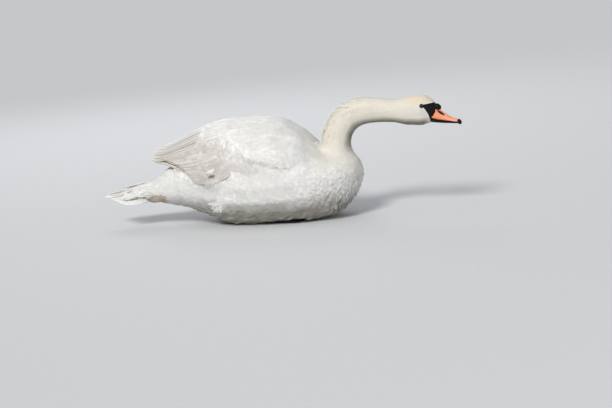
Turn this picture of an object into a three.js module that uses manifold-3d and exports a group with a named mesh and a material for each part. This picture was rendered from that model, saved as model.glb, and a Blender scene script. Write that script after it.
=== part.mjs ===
// A life-size mute swan resting on its belly, neck arched forward and head held level.
// Millimetres, +X towards the bill, +Y to the bird's left, +Z up.
// The origin is on the floor, midway between tail tip and bill tip.
import * as THREE from "three";
import { mergeVertices } from "three/addons/utils/BufferGeometryUtils.js";
import Module from "manifold-3d";

const wasm = await Module();
wasm.setup();

// ------------------------------------------------ driving dimensions
const GAP = 0.3; // clearance left between neighbouring pieces
const FAR = 600; // reach of a cutting prism, past every surface
const LEFT = 1;
const RIGHT = -1;
const SIDES = [["left", LEFT], ["right", RIGHT]];

const BREAST_X = 263; // foremost point of the breast
const RUMP_X = -369; // where the trunk ends inside the tail coverts

// ------------------------------------------------ small helpers
const clamp01 = (t) => Math.min(1, Math.max(0, t));
const mix = (a, b, t) => a + (b - a) * t;
const signedPower = (v, p) => Math.sign(v) * Math.abs(v) ** p;
const radians = (degrees) => (degrees * Math.PI) / 180;

// A smooth function through [x, value] pairs that never swings past them.
function profile(pairs) {
  const knots = [...pairs].sort((a, b) => a[0] - b[0]);
  const rise = (i) => (knots[i + 1][1] - knots[i][1]) / (knots[i + 1][0] - knots[i][0]);
  const slopes = knots.map((_, i) => {
    if (i === 0) return rise(0);
    if (i === knots.length - 1) return rise(i - 1);
    const [before, after] = [rise(i - 1), rise(i)];
    return before * after <= 0 ? 0 : (2 * before * after) / (before + after);
  });
  return (x) => {
    const ahead = knots.findIndex((k) => k[0] > x);
    const i = Math.min(Math.max((ahead < 0 ? knots.length : ahead) - 1, 0), knots.length - 2);
    const [x0, v0] = knots[i];
    const [x1, v1] = knots[i + 1];
    const span = x1 - x0;
    const t = clamp01((x - x0) / span);
    const ease = t * t * (3 - 2 * t);
    return mix(v0, v1, ease) + span * t * (1 - t) * (slopes[i] * (1 - t) - slopes[i + 1] * t);
  };
}

// A closed mesh as a solid whose faces point outwards.
function toSolid(geometry) {
  const bare = new THREE.BufferGeometry();
  bare.setAttribute("position", geometry.getAttribute("position").clone());
  if (geometry.index) bare.setIndex(geometry.index.clone());
  const merged = mergeVertices(bare, 1e-3);
  const vertProperties = new Float32Array(merged.attributes.position.array);
  const triVerts = new Uint32Array(merged.index.array);
  const solid = new wasm.Manifold(new wasm.Mesh({ numProp: 3, vertProperties, triVerts }));
  if (solid.volume() > 0) return solid;
  for (let i = 0; i < triVerts.length; i += 3) {
    [triVerts[i + 1], triVerts[i + 2]] = [triVerts[i + 2], triVerts[i + 1]];
  }
  return new wasm.Manifold(new wasm.Mesh({ numProp: 3, vertProperties, triVerts }));
}

const joined = (solids) => solids.reduce((a, b) => a.add(b));

// A skin stretched over rings of equal point count, closed by a point in the middle of each end ring.
function loft(rings) {
  const sides = rings[0].length;
  const points = rings.flat();
  const middle = (ring) => ring.reduce((sum, p) => sum.add(p), new THREE.Vector3()).divideScalar(sides);
  const faces = [];
  for (let r = 0; r < rings.length - 1; r++) {
    for (let i = 0; i < sides; i++) {
      const a = r * sides + i;
      const b = r * sides + ((i + 1) % sides);
      faces.push(a, b, a + sides, b, b + sides, a + sides);
    }
  }
  const lastRing = (rings.length - 1) * sides;
  const firstCap = points.push(middle(rings[0])) - 1;
  const lastCap = points.push(middle(rings[rings.length - 1])) - 1;
  for (let i = 0; i < sides; i++) {
    const next = (i + 1) % sides;
    faces.push(firstCap, next, i, lastCap, lastRing + i, lastRing + next);
  }
  return toSolid(new THREE.BufferGeometry().setFromPoints(points).setIndex(faces));
}

// An upright egg-shaped ring at x: widest at mid, with its own fullness above and below.
function eggRing(x, { top, mid, bottom, halfWidth, fullAbove, fullBelow }, grow, sides) {
  return Array.from({ length: sides }, (_, i) => {
    const angle = (i / sides) * 2 * Math.PI;
    const above = Math.sin(angle) >= 0;
    const power = 2 / (above ? fullAbove : fullBelow);
    const reach = (above ? top - mid : mid - bottom) + grow;
    return new THREE.Vector3(
      x,
      signedPower(Math.cos(angle), power) * (halfWidth + grow),
      mid + signedPower(Math.sin(angle), power) * reach,
    );
  });
}

// Places between two ends, closer together near both, where the form turns fastest.
function stations(from, to, count, crowding = 0.6) {
  return Array.from({ length: count + 1 }, (_, i) => {
    const t = i / count;
    return mix(from, to, mix(t, 0.5 - 0.5 * Math.cos(Math.PI * t), crowding));
  });
}

// A body of egg-shaped rings whose sizes are profiles along x.
function eggLoft(form, from, to, count, sides, grow = 0) {
  const at = (x) => Object.fromEntries(Object.entries(form).map(([key, f]) => [key, f(x)]));
  const shrink = typeof grow === "function" ? grow : () => grow;
  return loft(stations(from, to, count).map((x) => eggRing(x, at(x), shrink(x), sides)));
}

// A limb of elliptical rings square to a smooth line; each knot is [x, y, z, depth radius, width radius].
function limb(knots, count, sides, grow = 0) {
  const places = knots.map(([x, y, z]) => new THREE.Vector3(x, y, z));
  const line = new THREE.CatmullRomCurve3(places, false, "centripetal");
  const sized = (column) => {
    const curve = profile(knots.map((k, i) => [i / (knots.length - 1), k[column]]));
    return (t) => curve(t) + grow;
  };
  const depth = sized(3);
  const width = sized(4);
  const rings = Array.from({ length: count + 1 }, (_, r) => {
    const t = r / count;
    const middle = line.getPoint(t);
    const along = line.getTangent(t);
    const across = new THREE.Vector3(0, 1, 0).addScaledVector(along, -along.y).normalize();
    const up = new THREE.Vector3().crossVectors(along, across);
    return Array.from({ length: sides }, (_, i) => {
      const angle = (i / sides) * 2 * Math.PI;
      return middle
        .clone()
        .addScaledVector(across, Math.cos(angle) * width(t))
        .addScaledVector(up, Math.sin(angle) * depth(t));
    });
  });
  return loft(rings);
}

// A closed smooth outline through a few corners, moved outwards by grow.
function smoothOutline(corners, count, grow = 0, tension = 0.5) {
  const curve = new THREE.CatmullRomCurve3(
    corners.map(([u, v]) => new THREE.Vector3(u, v, 0)), true, "catmullrom", tension,
  );
  const points = curve.getPoints(count).slice(0, count);
  const clockwise = THREE.ShapeUtils.isClockWise(points);
  return points.map((p, i) => {
    const step = points[(i + 1) % count].clone().sub(points[(i + count - 1) % count]).normalize();
    const outward = clockwise ? new THREE.Vector2(-step.y, step.x) : new THREE.Vector2(step.y, -step.x);
    return new THREE.Vector2(p.x, p.y).addScaledVector(outward, grow);
  });
}

// A prism over an outline drawn in side view (x, z), reaching from y = near to y = far on one flank.
function sidePrism(outline, near, far, side) {
  const settings = { depth: far - near, bevelEnabled: false };
  const prism = new THREE.ExtrudeGeometry(new THREE.Shape(outline), settings);
  prism.rotateX(Math.PI / 2); // drawn height becomes z, depth runs towards -y
  prism.translate(0, side === LEFT ? far : -near, 0);
  return toSolid(prism);
}

// A prism over an outline drawn in plan (x, y).
function planPrism(outline, low, high) {
  const settings = { depth: high - low, bevelEnabled: false };
  const prism = new THREE.ExtrudeGeometry(new THREE.Shape(outline), settings);
  prism.translate(0, 0, low);
  return toSolid(prism);
}

function slab(low, high) {
  const size = high.map((v, i) => v - low[i]);
  const box = new THREE.BoxGeometry(...size);
  box.translate(...low.map((v, i) => v + size[i] / 2));
  return toSolid(box);
}

function ball(centre, radii, around = 12, down = 8) {
  const sphere = new THREE.SphereGeometry(1, around, down);
  sphere.scale(...radii);
  sphere.translate(...centre);
  return toSolid(sphere);
}

// ------------------------------------------------ trunk
const TRUNK = {
  top: profile([
    [263, 139], [256, 163], [240, 184], [205, 198], [145, 209], [105, 232], [63, 265], [23, 284],
    [-47, 296], [-105, 292], [-159, 284], [-204, 272], [-247, 246], [-285, 216], [-325, 190], [-369, 160],
  ]),
  bottom: profile([
    [263, 131], [255, 109], [239, 76], [221, 46], [196, 24], [163, 9], [125, 0], [90, -4], [0, -5],
    [-90, -4], [-140, 0], [-185, 11], [-235, 30], [-285, 46], [-330, 57], [-369, 66],
  ]),
  mid: profile([[263, 135], [215, 132], [110, 126], [-40, 126], [-150, 126], [-260, 128], [-369, 118]]),
  halfWidth: profile([
    [263, 4], [259, 28], [248, 55], [227, 84], [193, 111], [145, 136], [75, 158], [-5, 168], [-85, 167],
    [-145, 155], [-200, 134], [-265, 105], [-320, 80], [-369, 62],
  ]),
  fullAbove: () => 2.1,
  fullBelow: profile([[263, 2], [150, 2.2], [0, 2.3], [-120, 2.3], [-240, 2], [-369, 2]]),
};

// ------------------------------------------------ folded wings: one envelope over back and flanks
const WING_FRONT_X = 165;
const WING_TIP_X = -393;
const WINGS = {
  top: profile([
    [165, 205], [140, 216], [108, 247], [63, 280], [23, 300], [-6, 311], [-47, 315], [-90, 312.5],
    [-130, 313], [-161, 304], [-207, 300], [-228, 290], [-270, 272], [-321, 257], [-349, 244],
    [-371, 227], [-393, 202],
  ]),
  bottom: profile([[165, 60], [15, 40], [-185, 60], [-305, 110], [-393, 170]]),
  mid: profile([[165, 128], [15, 126], [-135, 128], [-235, 140], [-305, 154], [-393, 186]]),
  halfWidth: profile([
    [165, 110], [125, 136], [75, 156], [-5, 169], [-85, 171], [-145, 165], [-205, 146], [-265, 114],
    [-315, 84], [-355, 58], [-380, 38], [-393, 24],
  ]),
  fullAbove: () => 2.15,
  fullBelow: () => 2,
};
const wingThickness = profile([[165, 14], [75, 19], [-45, 20], [-185, 17], [-285, 10], [-393, 5]]);
const PRIMARY_THICKNESS = 7;

// Side-view outlines (x, z): the folded wing, and the stack of primaries that shows below its tip.
const WING_OUTLINE = [
  [-394, 203], [-355, 200], [-300, 187], [-270, 172], [-240, 148], [-215, 134], [-164, 125], [-134, 164],
  [-100, 174], [15, 171], [100, 199], [136, 219], [120, 270], [10, 350], [-190, 350], [-330, 300],
];
const PRIMARY_OUTLINE = [
  [-392, 195], [-345, 189], [-300, 179], [-262, 165], [-220, 160], [-180, 180], [-220, 205],
  [-300, 215], [-360, 213],
];
// Plan outline of the feathered back between the wings: half width at each place along x.
const backHalfWidth = profile([
  [175, 78], [135, 66], [55, 44], [-45, 24], [-145, 10], [-235, 1], [-420, 1],
]);

// ------------------------------------------------ neck and head
// Knots of the neck: [x, y, z, depth radius, width radius], from inside the breast to inside the head.
const NECK = [
  [168, 0, 122, 90, 98], [177, 0, 165, 78, 82], [182, 0, 205, 52, 54], [184, 0, 230, 43, 42],
  [200, 0, 272, 43.5, 40], [233, 0, 303, 42.5, 39], [276, 0, 314.5, 40, 37.5], [324, 0, 313, 36.5, 35],
  [350, 0, 310, 35, 34], [366, 0, 309, 34.4, 33], [384, 0, 308, 29, 28],
];
const NECK_FOOT_Z = 214; // level at which the neck is parted from the trunk
const NECK_BACK_X = 135; // back of the neck where it meets the back
const HEAD_BACK_X = 367;
const HEAD_FRONT_X = 491;
const HEAD = {
  top: profile([
    [362, 343], [380, 344], [392, 346], [413, 348.5], [436, 352], [450, 352.5], [460, 351], [471, 345.5],
    [480, 337], [486, 330.5], [491, 323],
  ]),
  bottom: profile([
    [362, 275], [382, 268.5], [406, 263.5], [436, 265], [451, 269], [469, 273], [482, 275], [491, 278],
  ]),
  mid: profile([[362, 309], [412, 306], [452, 308], [491, 298]]),
  halfWidth: profile([
    [362, 33], [390, 34], [415, 35.5], [435, 35.5], [452, 32.5], [466, 27.5], [478, 21.5],
    [486, 17.5], [491, 14.5],
  ]),
  fullAbove: () => 2.15,
  fullBelow: () => 2.2,
};
const EYE = { x: 451, z: 321, y: 26.5, radius: 8 };

// ------------------------------------------------ bill
const BILL_BASE_X = 468;
const BILL_FORM = {
  top: profile([
    [468, 316], [488, 314], [500, 307], [507, 301.5], [521, 289.5], [537, 279.5], [550, 274.5], [561, 267],
  ]),
  bottom: profile([[468, 284], [481, 279], [493, 275.5], [510, 272], [538, 267.5], [561, 263]]),
  mid: profile([[468, 289], [510, 279.5], [538, 271.5], [561, 265]]),
  halfWidth: profile([[468, 18], [484, 17.5], [505, 15.5], [525, 14.5], [543, 14], [555, 10.5], [561, 5]]),
  fullAbove: profile([[468, 1.7], [505, 1.65], [535, 2], [561, 2.2]]),
  fullBelow: () => 2.6,
};
const LOWER_BILL_FORM = {
  top: profile([[462, 282], [510, 271.6], [538, 267], [556, 264]]),
  bottom: profile([[462, 271], [480, 268], [495, 265.8], [524, 263], [545, 261.5], [556, 261]]),
  mid: profile([[462, 277], [505, 269.5], [535, 265.5], [556, 262.5]]),
  halfWidth: profile([[462, 16], [485, 15], [515, 13], [543, 12], [552, 9], [556, 6]]),
  fullAbove: () => 3,
  fullBelow: () => 2,
};
const KNOB = { centre: [493, 0, 313], radii: [13, 9.5, 11.5] };
const NOSTRIL = { x: 504, z: 295.5, length: 25, height: 5.5, tilt: -37, floor: 5 };
const NAIL_OUTLINE = [
  [553.5, 273.5], [558, 273.5], [562, 268], [563.2, 261], [558.5, 257.5], [554, 260], [551.5, 266],
];

// ------------------------------------------------ tail
const TAIL_FEATHERS = 11;
const TAIL_ROOT = { x: -345, z: 137 };
const TAIL_FAN_DEGREES = 25; // the outermost feather's turn from the midline
// Length of a tail feather, by how far out from the middle one it is.
const tailLength = profile([[0, 218], [0.2, 213], [0.4, 184], [1, 150]]);
const TAIL_COVERTS = {
  top: profile([
    [-285, 186], [-345, 168], [-376, 152], [-407, 138], [-438, 128.5], [-468, 122], [-505, 114],
  ]),
  bottom: profile([
    [-285, 52], [-330, 59], [-374, 65], [-400, 76], [-431, 85], [-465, 93], [-505, 101],
  ]),
  mid: profile([[-285, 118], [-370, 108], [-440, 104], [-505, 107]]),
  halfWidth: profile([[-285, 92], [-340, 76], [-390, 62], [-440, 46], [-480, 28], [-505, 14]]),
  fullAbove: () => 2,
  fullBelow: () => 2,
};

// ------------------------------------------------ legs, folded flat under the belly
const ANKLE = { x: -42, y: 52 };
const HOCK_X = -144;
const TOES = [ // length, turn from straight ahead in degrees (outwards positive), radius at the root
  { name: "inner", length: 94, turn: -13, radius: 5.2 },
  { name: "middle", length: 116, turn: 2, radius: 5.6 },
  { name: "outer", length: 110, turn: 17, radius: 5.2 },
];
const WEB_THICKNESS = 3;
const CLAW_LENGTH = 12;
const POCKET_HEIGHT = 13.4; // room cut in the belly above the feet
// Plan outline (x, y) of the room over each foot.
const FOOT_POCKET = [[-56, 40], [-52, 66], [10, 84], [72, 98], [92, 58], [70, 18], [10, 28]];

// ------------------------------------------------ shells and prisms of the folded wing
const wingEnvelope = () => eggLoft(WINGS, WING_FRONT_X, WING_TIP_X, 17, 24);
const wingInner = (grow) => (
  eggLoft(WINGS, WING_FRONT_X + 1, WING_TIP_X - 1, 12, 18, (x) => grow - wingThickness(x))
);

function backPlan(grow) {
  const edge = stations(180, -430, 9, 0).map((x) => new THREE.Vector2(x, backHalfWidth(x) + grow));
  const mirrored = edge.map((p) => new THREE.Vector2(p.x, -p.y)).reverse();
  return planPrism([...edge, ...mirrored], -FAR, FAR);
}

// ------------------------------------------------ flesh: trunk, neck and head as one form
const trunkForm = (grow = 0) => eggLoft(TRUNK, BREAST_X, RUMP_X, 18, 22, grow);
const neckForm = limb(NECK, 16, 18);
const headForm = eggLoft(HEAD, HEAD_BACK_X, HEAD_FRONT_X, 12, 18);
const aboveFloor = slab([-FAR, -FAR, 0], [FAR, FAR, FAR]);
const backFeathers = wingEnvelope()
  .intersect(backPlan(-GAP / 2))
  .intersect(slab([-247, -FAR, 0], [FAR, FAR, FAR]));

// Everything outside the wing's inner face, within its side outline and beyond the feathered back.
function wingPocket(side) {
  const outline = smoothOutline(WING_OUTLINE, 30, GAP);
  return sidePrism(outline, 0, FAR, side).subtract(wingInner(-GAP)).subtract(backPlan(-GAP / 2));
}

const billUpperForm = (grow = 0) => eggLoft(BILL_FORM, BILL_BASE_X, 561, 10, 14, grow);
const billLowerForm = (grow = 0) => eggLoft(LOWER_BILL_FORM, 462, 556, 6, 10, grow);
const knobForm = (grow = 0) => ball(KNOB.centre, KNOB.radii.map((r) => r + grow), 12, 8);
const eyeBall = (side, grow = 0) => (
  ball([EYE.x, side * EYE.y, EYE.z], Array(3).fill(EYE.radius + grow), 12, 8)
);

// ------------------------------------------------ legs and feet, drawn on the left and mirrored
const mirrorY = (knots, side) => knots.map(([x, y, ...rest]) => [x, y * side, ...rest]);

function toePlace({ length, turn }, reach = length) {
  const angle = radians(turn);
  return [ANKLE.x + Math.cos(angle) * reach, ANKLE.y + Math.sin(angle) * reach];
}

function legForm(side, grow = 0) {
  const knots = [
    [HOCK_X, ANKLE.y, 12, 9.5, 10.5], [HOCK_X + 22, ANKLE.y, 11, 8, 8.5],
    [ANKLE.x - 48, ANKLE.y, 10, 7, 6.5], [ANKLE.x, ANKLE.y, 9.5, 8, 8],
  ];
  const behindAnkle = slab([-FAR, -FAR, 0], [ANKLE.x - 6 + grow, FAR, FAR]);
  return limb(mirrorY(knots, side), 5, 8, grow).intersect(behindAnkle);
}

function toeForm(toe, side) {
  const { length, radius } = toe;
  const height = radius - 0.6;
  const knots = [
    [ANKLE.x - 4, ANKLE.y, height + 2, radius + 1, radius],
    [...toePlace(toe, length / 2), height - 0.8, radius - 0.8, radius - 0.8],
    [...toePlace(toe, length - 2), height - 1.8, radius - 2, radius - 1.8],
  ];
  return limb(mirrorY(knots, side), 2, 6);
}

function footForm(side) {
  const toes = TOES.map((toe) => toeForm(toe, side));
  const tips = TOES.map((toe) => toePlace(toe, toe.length * 0.93));
  const scoops = [0, 1].map((i) => toePlace({ turn: (TOES[i].turn + TOES[i + 1].turn) / 2 }, 78));
  const rim = [
    [ANKLE.x - 4, ANKLE.y - 5], tips[0], scoops[0], tips[1], scoops[1], tips[2], [ANKLE.x - 4, ANKLE.y + 5],
  ];
  const web = new THREE.Shape(rim.map(([x, y]) => new THREE.Vector2(x, y * side)));
  const sheet = new THREE.ExtrudeGeometry(web, { depth: WEB_THICKNESS, bevelEnabled: false });
  return joined([...toes, toSolid(sheet)]).intersect(slab([ANKLE.x - 5.5, -FAR, 0], [FAR, FAR, FAR]));
}

function clawForm(toe, side, grow = 0) {
  const knots = [
    [...toePlace(toe, toe.length - 4), 4.2, 2.6, 2.4], [...toePlace(toe, toe.length + 3), 4, 2, 1.9],
    [...toePlace(toe, toe.length + CLAW_LENGTH - 4), 1.2, 0.7, 0.6],
  ];
  return limb(mirrorY(knots, side), 2, 6, grow);
}

function footPocket(side) {
  const outline = smoothOutline(FOOT_POCKET.map(([x, y]) => [x, y * side]), 14);
  return planPrism(outline, -20, POCKET_HEIGHT);
}

// ------------------------------------------------ cutting the flesh into its named parts
const feetRoom = joined(SIDES.flatMap(([, side]) => [legForm(side, GAP), footPocket(side)]));
const faceRoom = joined([
  billUpperForm(GAP), billLowerForm(GAP), knobForm(GAP), eyeBall(LEFT, GAP), eyeBall(RIGHT, GAP),
]);
const wholeFlesh = joined([trunkForm(), backFeathers, neckForm, headForm])
  .intersect(aboveFloor)
  .subtract(wingPocket(LEFT))
  .subtract(wingPocket(RIGHT))
  .subtract(feetRoom)
  .subtract(faceRoom);

// The neck leaves the trunk at a level cut; a box around it keeps that cut off the back and wings.
const neckBox = (grow) => slab([NECK_BACK_X - grow, -62 - grow, NECK_FOOT_Z - grow], [FAR, 62 + grow, FAR]);
const trunkPiece = wholeFlesh.subtract(neckBox(GAP));

// Where the neck is parted further: a point on its line and the direction towards the head.
const NECK_PARTINGS = [
  { x: 236, z: 304, towardsHead: [1, 0.5] },
  { x: 315, z: 313, towardsHead: [1, -0.04] },
  { x: 382, z: 308, towardsHead: [1, -0.05] },
];

function partNeck(flesh) {
  const lengths = [];
  let rest = flesh;
  for (const { x, z, towardsHead } of NECK_PARTINGS) {
    const normal = new THREE.Vector3(towardsHead[0], 0, towardsHead[1]).normalize();
    const offset = normal.dot(new THREE.Vector3(x, 0, z));
    const [ahead] = rest.splitByPlane(normal.toArray(), offset + GAP);
    const [, behind] = rest.splitByPlane(normal.toArray(), offset);
    lengths.push(behind);
    rest = ahead;
  }
  return [...lengths, rest];
}
const [neckLower, neckMiddle, neckUpper, headPiece] = partNeck(wholeFlesh.intersect(neckBox(0)));

// ------------------------------------------------ bill
function nostril(side) {
  const { x, z, length, height, tilt, floor } = NOSTRIL;
  const slot = new THREE.SphereGeometry(1, 8, 6);
  slot.scale(length / 2, 20, height / 2);
  slot.rotateY(radians(-tilt));
  slot.translate(x, side * (floor + 20), z);
  return toSolid(slot);
}

function nailPrism(grow) {
  const outline = smoothOutline(NAIL_OUTLINE, 14, grow);
  return joined(SIDES.map(([, side]) => sidePrism(outline, -1, 30, side)));
}
const NAIL_FORM = {
  top: profile([[546, 277], [555, 275], [560, 272], [563.5, 264]]),
  bottom: () => 256,
  mid: () => 263,
  halfWidth: profile([[546, 8.5], [555, 8], [560, 6], [563.5, 3]]),
  fullAbove: () => 2,
  fullBelow: () => 2,
};
const nailForm = eggLoft(NAIL_FORM, 546, 563.5, 5, 10).intersect(nailPrism(0));
const billUpper = billUpperForm()
  .subtract(knobForm(GAP))
  .subtract(nailPrism(GAP))
  .subtract(nostril(LEFT))
  .subtract(nostril(RIGHT));
const billLower = billLowerForm().subtract(billUpperForm(GAP)).subtract(nailPrism(GAP));

// ------------------------------------------------ tail: coverts and a fan of stiff feathers
function tailFeather(index) {
  const share = (index / (TAIL_FEATHERS - 1)) * 2 - 1; // -1 outermost right, 1 outermost left
  const out = Math.abs(share);
  const turn = radians(TAIL_FAN_DEGREES * share);
  const length = tailLength(out);
  const halfBlade = 13.5;
  // Place along the feather, share of its width and half thickness.
  const blade = [[0, 0.7, 2], [0.35, 0.95, 2], [0.75, 1, 1.8], [1, 0.1, 0.6]];
  const knots = blade.map(([t, width, thick]) => [
    TAIL_ROOT.x - Math.cos(turn) * length * t,
    Math.sin(turn) * length * t,
    TAIL_ROOT.z - 22 * out ** 0.7 - (37 - 10 * out) * t,
    thick,
    halfBlade * width,
  ]);
  return limb(knots, 4, 6);
}
const tailFan = joined(Array.from({ length: TAIL_FEATHERS }, (_, i) => tailFeather(i)));
const tailCoverts = (grow = 0) => eggLoft(TAIL_COVERTS, -285, -505, 8, 15, grow);
const tailPiece = tailCoverts().add(tailFan).subtract(trunkForm(GAP));

// ------------------------------------------------ wing pieces
function wingPiece(side) {
  return wingEnvelope()
    .intersect(sidePrism(smoothOutline(WING_OUTLINE, 30), 0.2, FAR, side))
    .subtract(wingInner(0))
    .subtract(backPlan(GAP / 2));
}

function primaryPiece(side) {
  return wingInner(-GAP)
    .subtract(wingInner(-PRIMARY_THICKNESS))
    .intersect(sidePrism(smoothOutline(PRIMARY_OUTLINE, 16), 2, FAR, side))
    .subtract(trunkForm(GAP))
    .subtract(tailCoverts(GAP));
}

// The largest connected piece, so that slivers left by a cut are dropped.
const largest = (solid) => solid.decompose().sort((a, b) => b.volume() - a.volume())[0];

// ------------------------------------------------ meshes
function surface(name, color, roughness) {
  return new THREE.MeshStandardMaterial({ name, color, roughness, metalness: 0 });
}
const WHITE = surface("white plumage", 0xefece6, 0.85);
const CREAM = surface("cream neck plumage", 0xe9e2cf, 0.85);
const FLIGHT = surface("flight feathers", 0xe2dbd2, 0.85);
const ORANGE = surface("orange bill", 0xd9703f, 0.5);
const BLACK = surface("black horn", 0x14110f, 0.5);
const EYE_DARK = surface("dark brown eye", 0x120b08, 0.15);
const LEG = surface("charcoal leg skin", 0x2b2927, 0.7);

const swan = new THREE.Group();

function add(name, solid, material) {
  const mesh = largest(solid).getMesh();
  const geometry = new THREE.BufferGeometry();
  geometry.setAttribute("position", new THREE.BufferAttribute(new Float32Array(mesh.vertProperties), 3));
  geometry.setIndex(new THREE.BufferAttribute(new Uint32Array(mesh.triVerts), 1));
  geometry.computeVertexNormals();
  const piece = new THREE.Mesh(geometry, material);
  piece.name = name;
  swan.add(piece);
}

add("trunk", trunkPiece, WHITE);
add("neck_lower", neckLower, CREAM);
add("neck_middle", neckMiddle, CREAM);
add("neck_upper", neckUpper, CREAM);
add("head", headPiece, CREAM);
add("bill_upper", billUpper, ORANGE);
add("bill_lower", billLower, BLACK);
add("bill_knob", knobForm(), BLACK);
add("bill_nail", nailForm, BLACK);
add("tail", tailPiece, WHITE);
for (const [label, side] of SIDES) {
  add(`eye_${label}`, eyeBall(side), EYE_DARK);
  add(`wing_${label}`, wingPiece(side), WHITE);
  add(`primaries_${label}`, primaryPiece(side), FLIGHT);
  const claws = joined(TOES.map((toe) => clawForm(toe, side, GAP)));
  add(`leg_${label}`, legForm(side), LEG);
  add(`foot_${label}`, footForm(side).subtract(claws), LEG);
  for (const toe of TOES) {
    add(`claw_${toe.name}_${label}`, clawForm(toe, side).intersect(aboveFloor), BLACK);
  }
}

export default swan;
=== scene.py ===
# %% [markdown]
# # A mute swan at rest
# This notebook dresses the plain solids of a swan in feathers, horn and skin. The bird rests on its
# belly with folded wings, its neck arched forward and its head held level. All sizes are in metres:
# +X runs towards the bill, +Y to the bird's left and +Z up, and the floor is at z = 0.

# %% Load the frame
import math

import bpy
import numpy as np
from mathutils import Matrix, Vector
from mathutils.bvhtree import BVHTree


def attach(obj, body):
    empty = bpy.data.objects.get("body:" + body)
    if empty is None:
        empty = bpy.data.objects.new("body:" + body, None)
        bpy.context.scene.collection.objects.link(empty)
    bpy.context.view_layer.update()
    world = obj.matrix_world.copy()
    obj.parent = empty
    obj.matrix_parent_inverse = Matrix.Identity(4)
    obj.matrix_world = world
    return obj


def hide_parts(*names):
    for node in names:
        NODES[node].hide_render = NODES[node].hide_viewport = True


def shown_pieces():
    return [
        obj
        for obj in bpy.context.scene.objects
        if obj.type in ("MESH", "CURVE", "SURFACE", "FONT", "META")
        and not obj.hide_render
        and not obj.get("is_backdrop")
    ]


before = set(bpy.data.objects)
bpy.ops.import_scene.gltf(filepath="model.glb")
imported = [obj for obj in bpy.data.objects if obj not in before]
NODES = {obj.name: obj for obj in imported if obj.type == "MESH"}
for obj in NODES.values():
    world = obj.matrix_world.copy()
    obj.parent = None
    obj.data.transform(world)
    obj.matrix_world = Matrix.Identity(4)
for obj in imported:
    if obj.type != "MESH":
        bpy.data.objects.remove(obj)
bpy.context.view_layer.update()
SIDES = {"left": 1, "right": -1}
MM = 0.001

# %% [markdown]
# ## Camera, floor and light
# The bird is seen from its right side, a little ahead of its middle and a little above, by a long
# lens held slightly out of level. The camera is aimed by those four facts. A point on the breast is
# pinned to its place in the picture, and the camera is slid sideways until it falls there.

# %% Camera
PICTURE = (612, 408)
FOCAL_PIXELS = 1800
AZIMUTH, ELEVATION, ROLL = (math.radians(angle) for angle in (13, 10, 5))
DISTANCE = 5.4
PINNED_POINT = Vector((0.222, 0, 0.045))
PINNED_PIXEL = (354, 200.5)

towards_camera = Vector((
    math.sin(AZIMUTH) * math.cos(ELEVATION),
    -math.cos(AZIMUTH) * math.cos(ELEVATION),
    math.sin(ELEVATION),
))
level_right = Vector((math.cos(AZIMUTH), math.sin(AZIMUTH), 0))
level_up = towards_camera.cross(level_right)
right = level_right * math.cos(ROLL) - level_up * math.sin(ROLL)
up = level_right * math.sin(ROLL) + level_up * math.cos(ROLL)
slide_right = (PINNED_PIXEL[0] - PICTURE[0] / 2) / FOCAL_PIXELS * DISTANCE
slide_down = (PINNED_PIXEL[1] - PICTURE[1] / 2) / FOCAL_PIXELS * DISTANCE
eye_point = PINNED_POINT + towards_camera * DISTANCE - right * slide_right + up * slide_down

SENSOR_WIDTH_MM = 36
camera_data = bpy.data.cameras.new("camera")
camera_data.sensor_width = SENSOR_WIDTH_MM
camera_data.lens = FOCAL_PIXELS / PICTURE[0] * SENSOR_WIDTH_MM
camera = bpy.data.objects.new("camera", camera_data)
bpy.context.collection.objects.link(camera)
turn = Matrix((right, up, towards_camera)).transposed().to_4x4()
camera.matrix_world = Matrix.Translation(eye_point) @ turn
bpy.context.scene.camera = camera
print("camera at", [round(v, 2) for v in eye_point], "with a", round(camera_data.lens), "mm lens")


# %% Floor
def deselect():
    bpy.ops.object.select_all(action="DESELECT")


def only(piece):
    """Make one object the selected and active one."""
    deselect()
    piece.select_set(True)
    bpy.context.view_layer.objects.active = piece


FLOOR_SIZE = 120
deselect()
bpy.ops.mesh.primitive_plane_add(size=FLOOR_SIZE, location=(0, 0, 0))
floor = bpy.context.object
floor.name = "floor"
floor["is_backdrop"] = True
print("floor", FLOOR_SIZE, "metres wide")


# %% Lamps
BODY_CENTRE = (0, 0, 0.15)


def lamp(name, kind, place, energy, colour, **settings):
    """A light at a place, aimed at the middle of the body."""
    data = bpy.data.lights.new(name, kind)
    data.energy = energy
    data.color = colour
    for setting, value in settings.items():
        setattr(data, setting, value)
    made = bpy.data.objects.new(name, data)
    bpy.context.collection.objects.link(made)
    made.location = place
    made.rotation_euler = (Vector(BODY_CENTRE) - Vector(place)).to_track_quat("-Z", "Y").to_euler()


WARM, COOL, COOLER = (1.0, 0.985, 0.95), (0.97, 0.98, 1.0), (0.95, 0.97, 1.0)
lamp("key", "SUN", (-0.7, -3.0, 2.7), 2.65, WARM, angle=math.radians(18))
lamp("rim", "AREA", (-1.2, 2.6, 2.2), 20, COOL, size=1.6)
lamp("fill", "AREA", (2.6, -3.2, 1.2), 14, COOLER, size=2.2)
print("soft key, fill and rim lights aimed at", BODY_CENTRE)

# %% Sky and tones
SKY_COLOUR = (0.96, 0.975, 1.0)
SKY_STRENGTH = 0.47
sky = bpy.data.worlds.new("sky")
sky.use_nodes = True
background = sky.node_tree.nodes["Background"].inputs
background["Color"].default_value = (*SKY_COLOUR, 1)
background["Strength"].default_value = SKY_STRENGTH
bpy.context.scene.world = sky
bpy.context.scene.view_settings.view_transform = "Standard"  # keeps white feathers white
print("pale sky at strength", SKY_STRENGTH)

# %% [markdown]
# ## Shader arithmetic
# Colours are worked out with ordinary Python expressions. A small class wraps a shader socket, and
# each operator on it adds the Math node that does the same sum when the picture is made.


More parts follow.
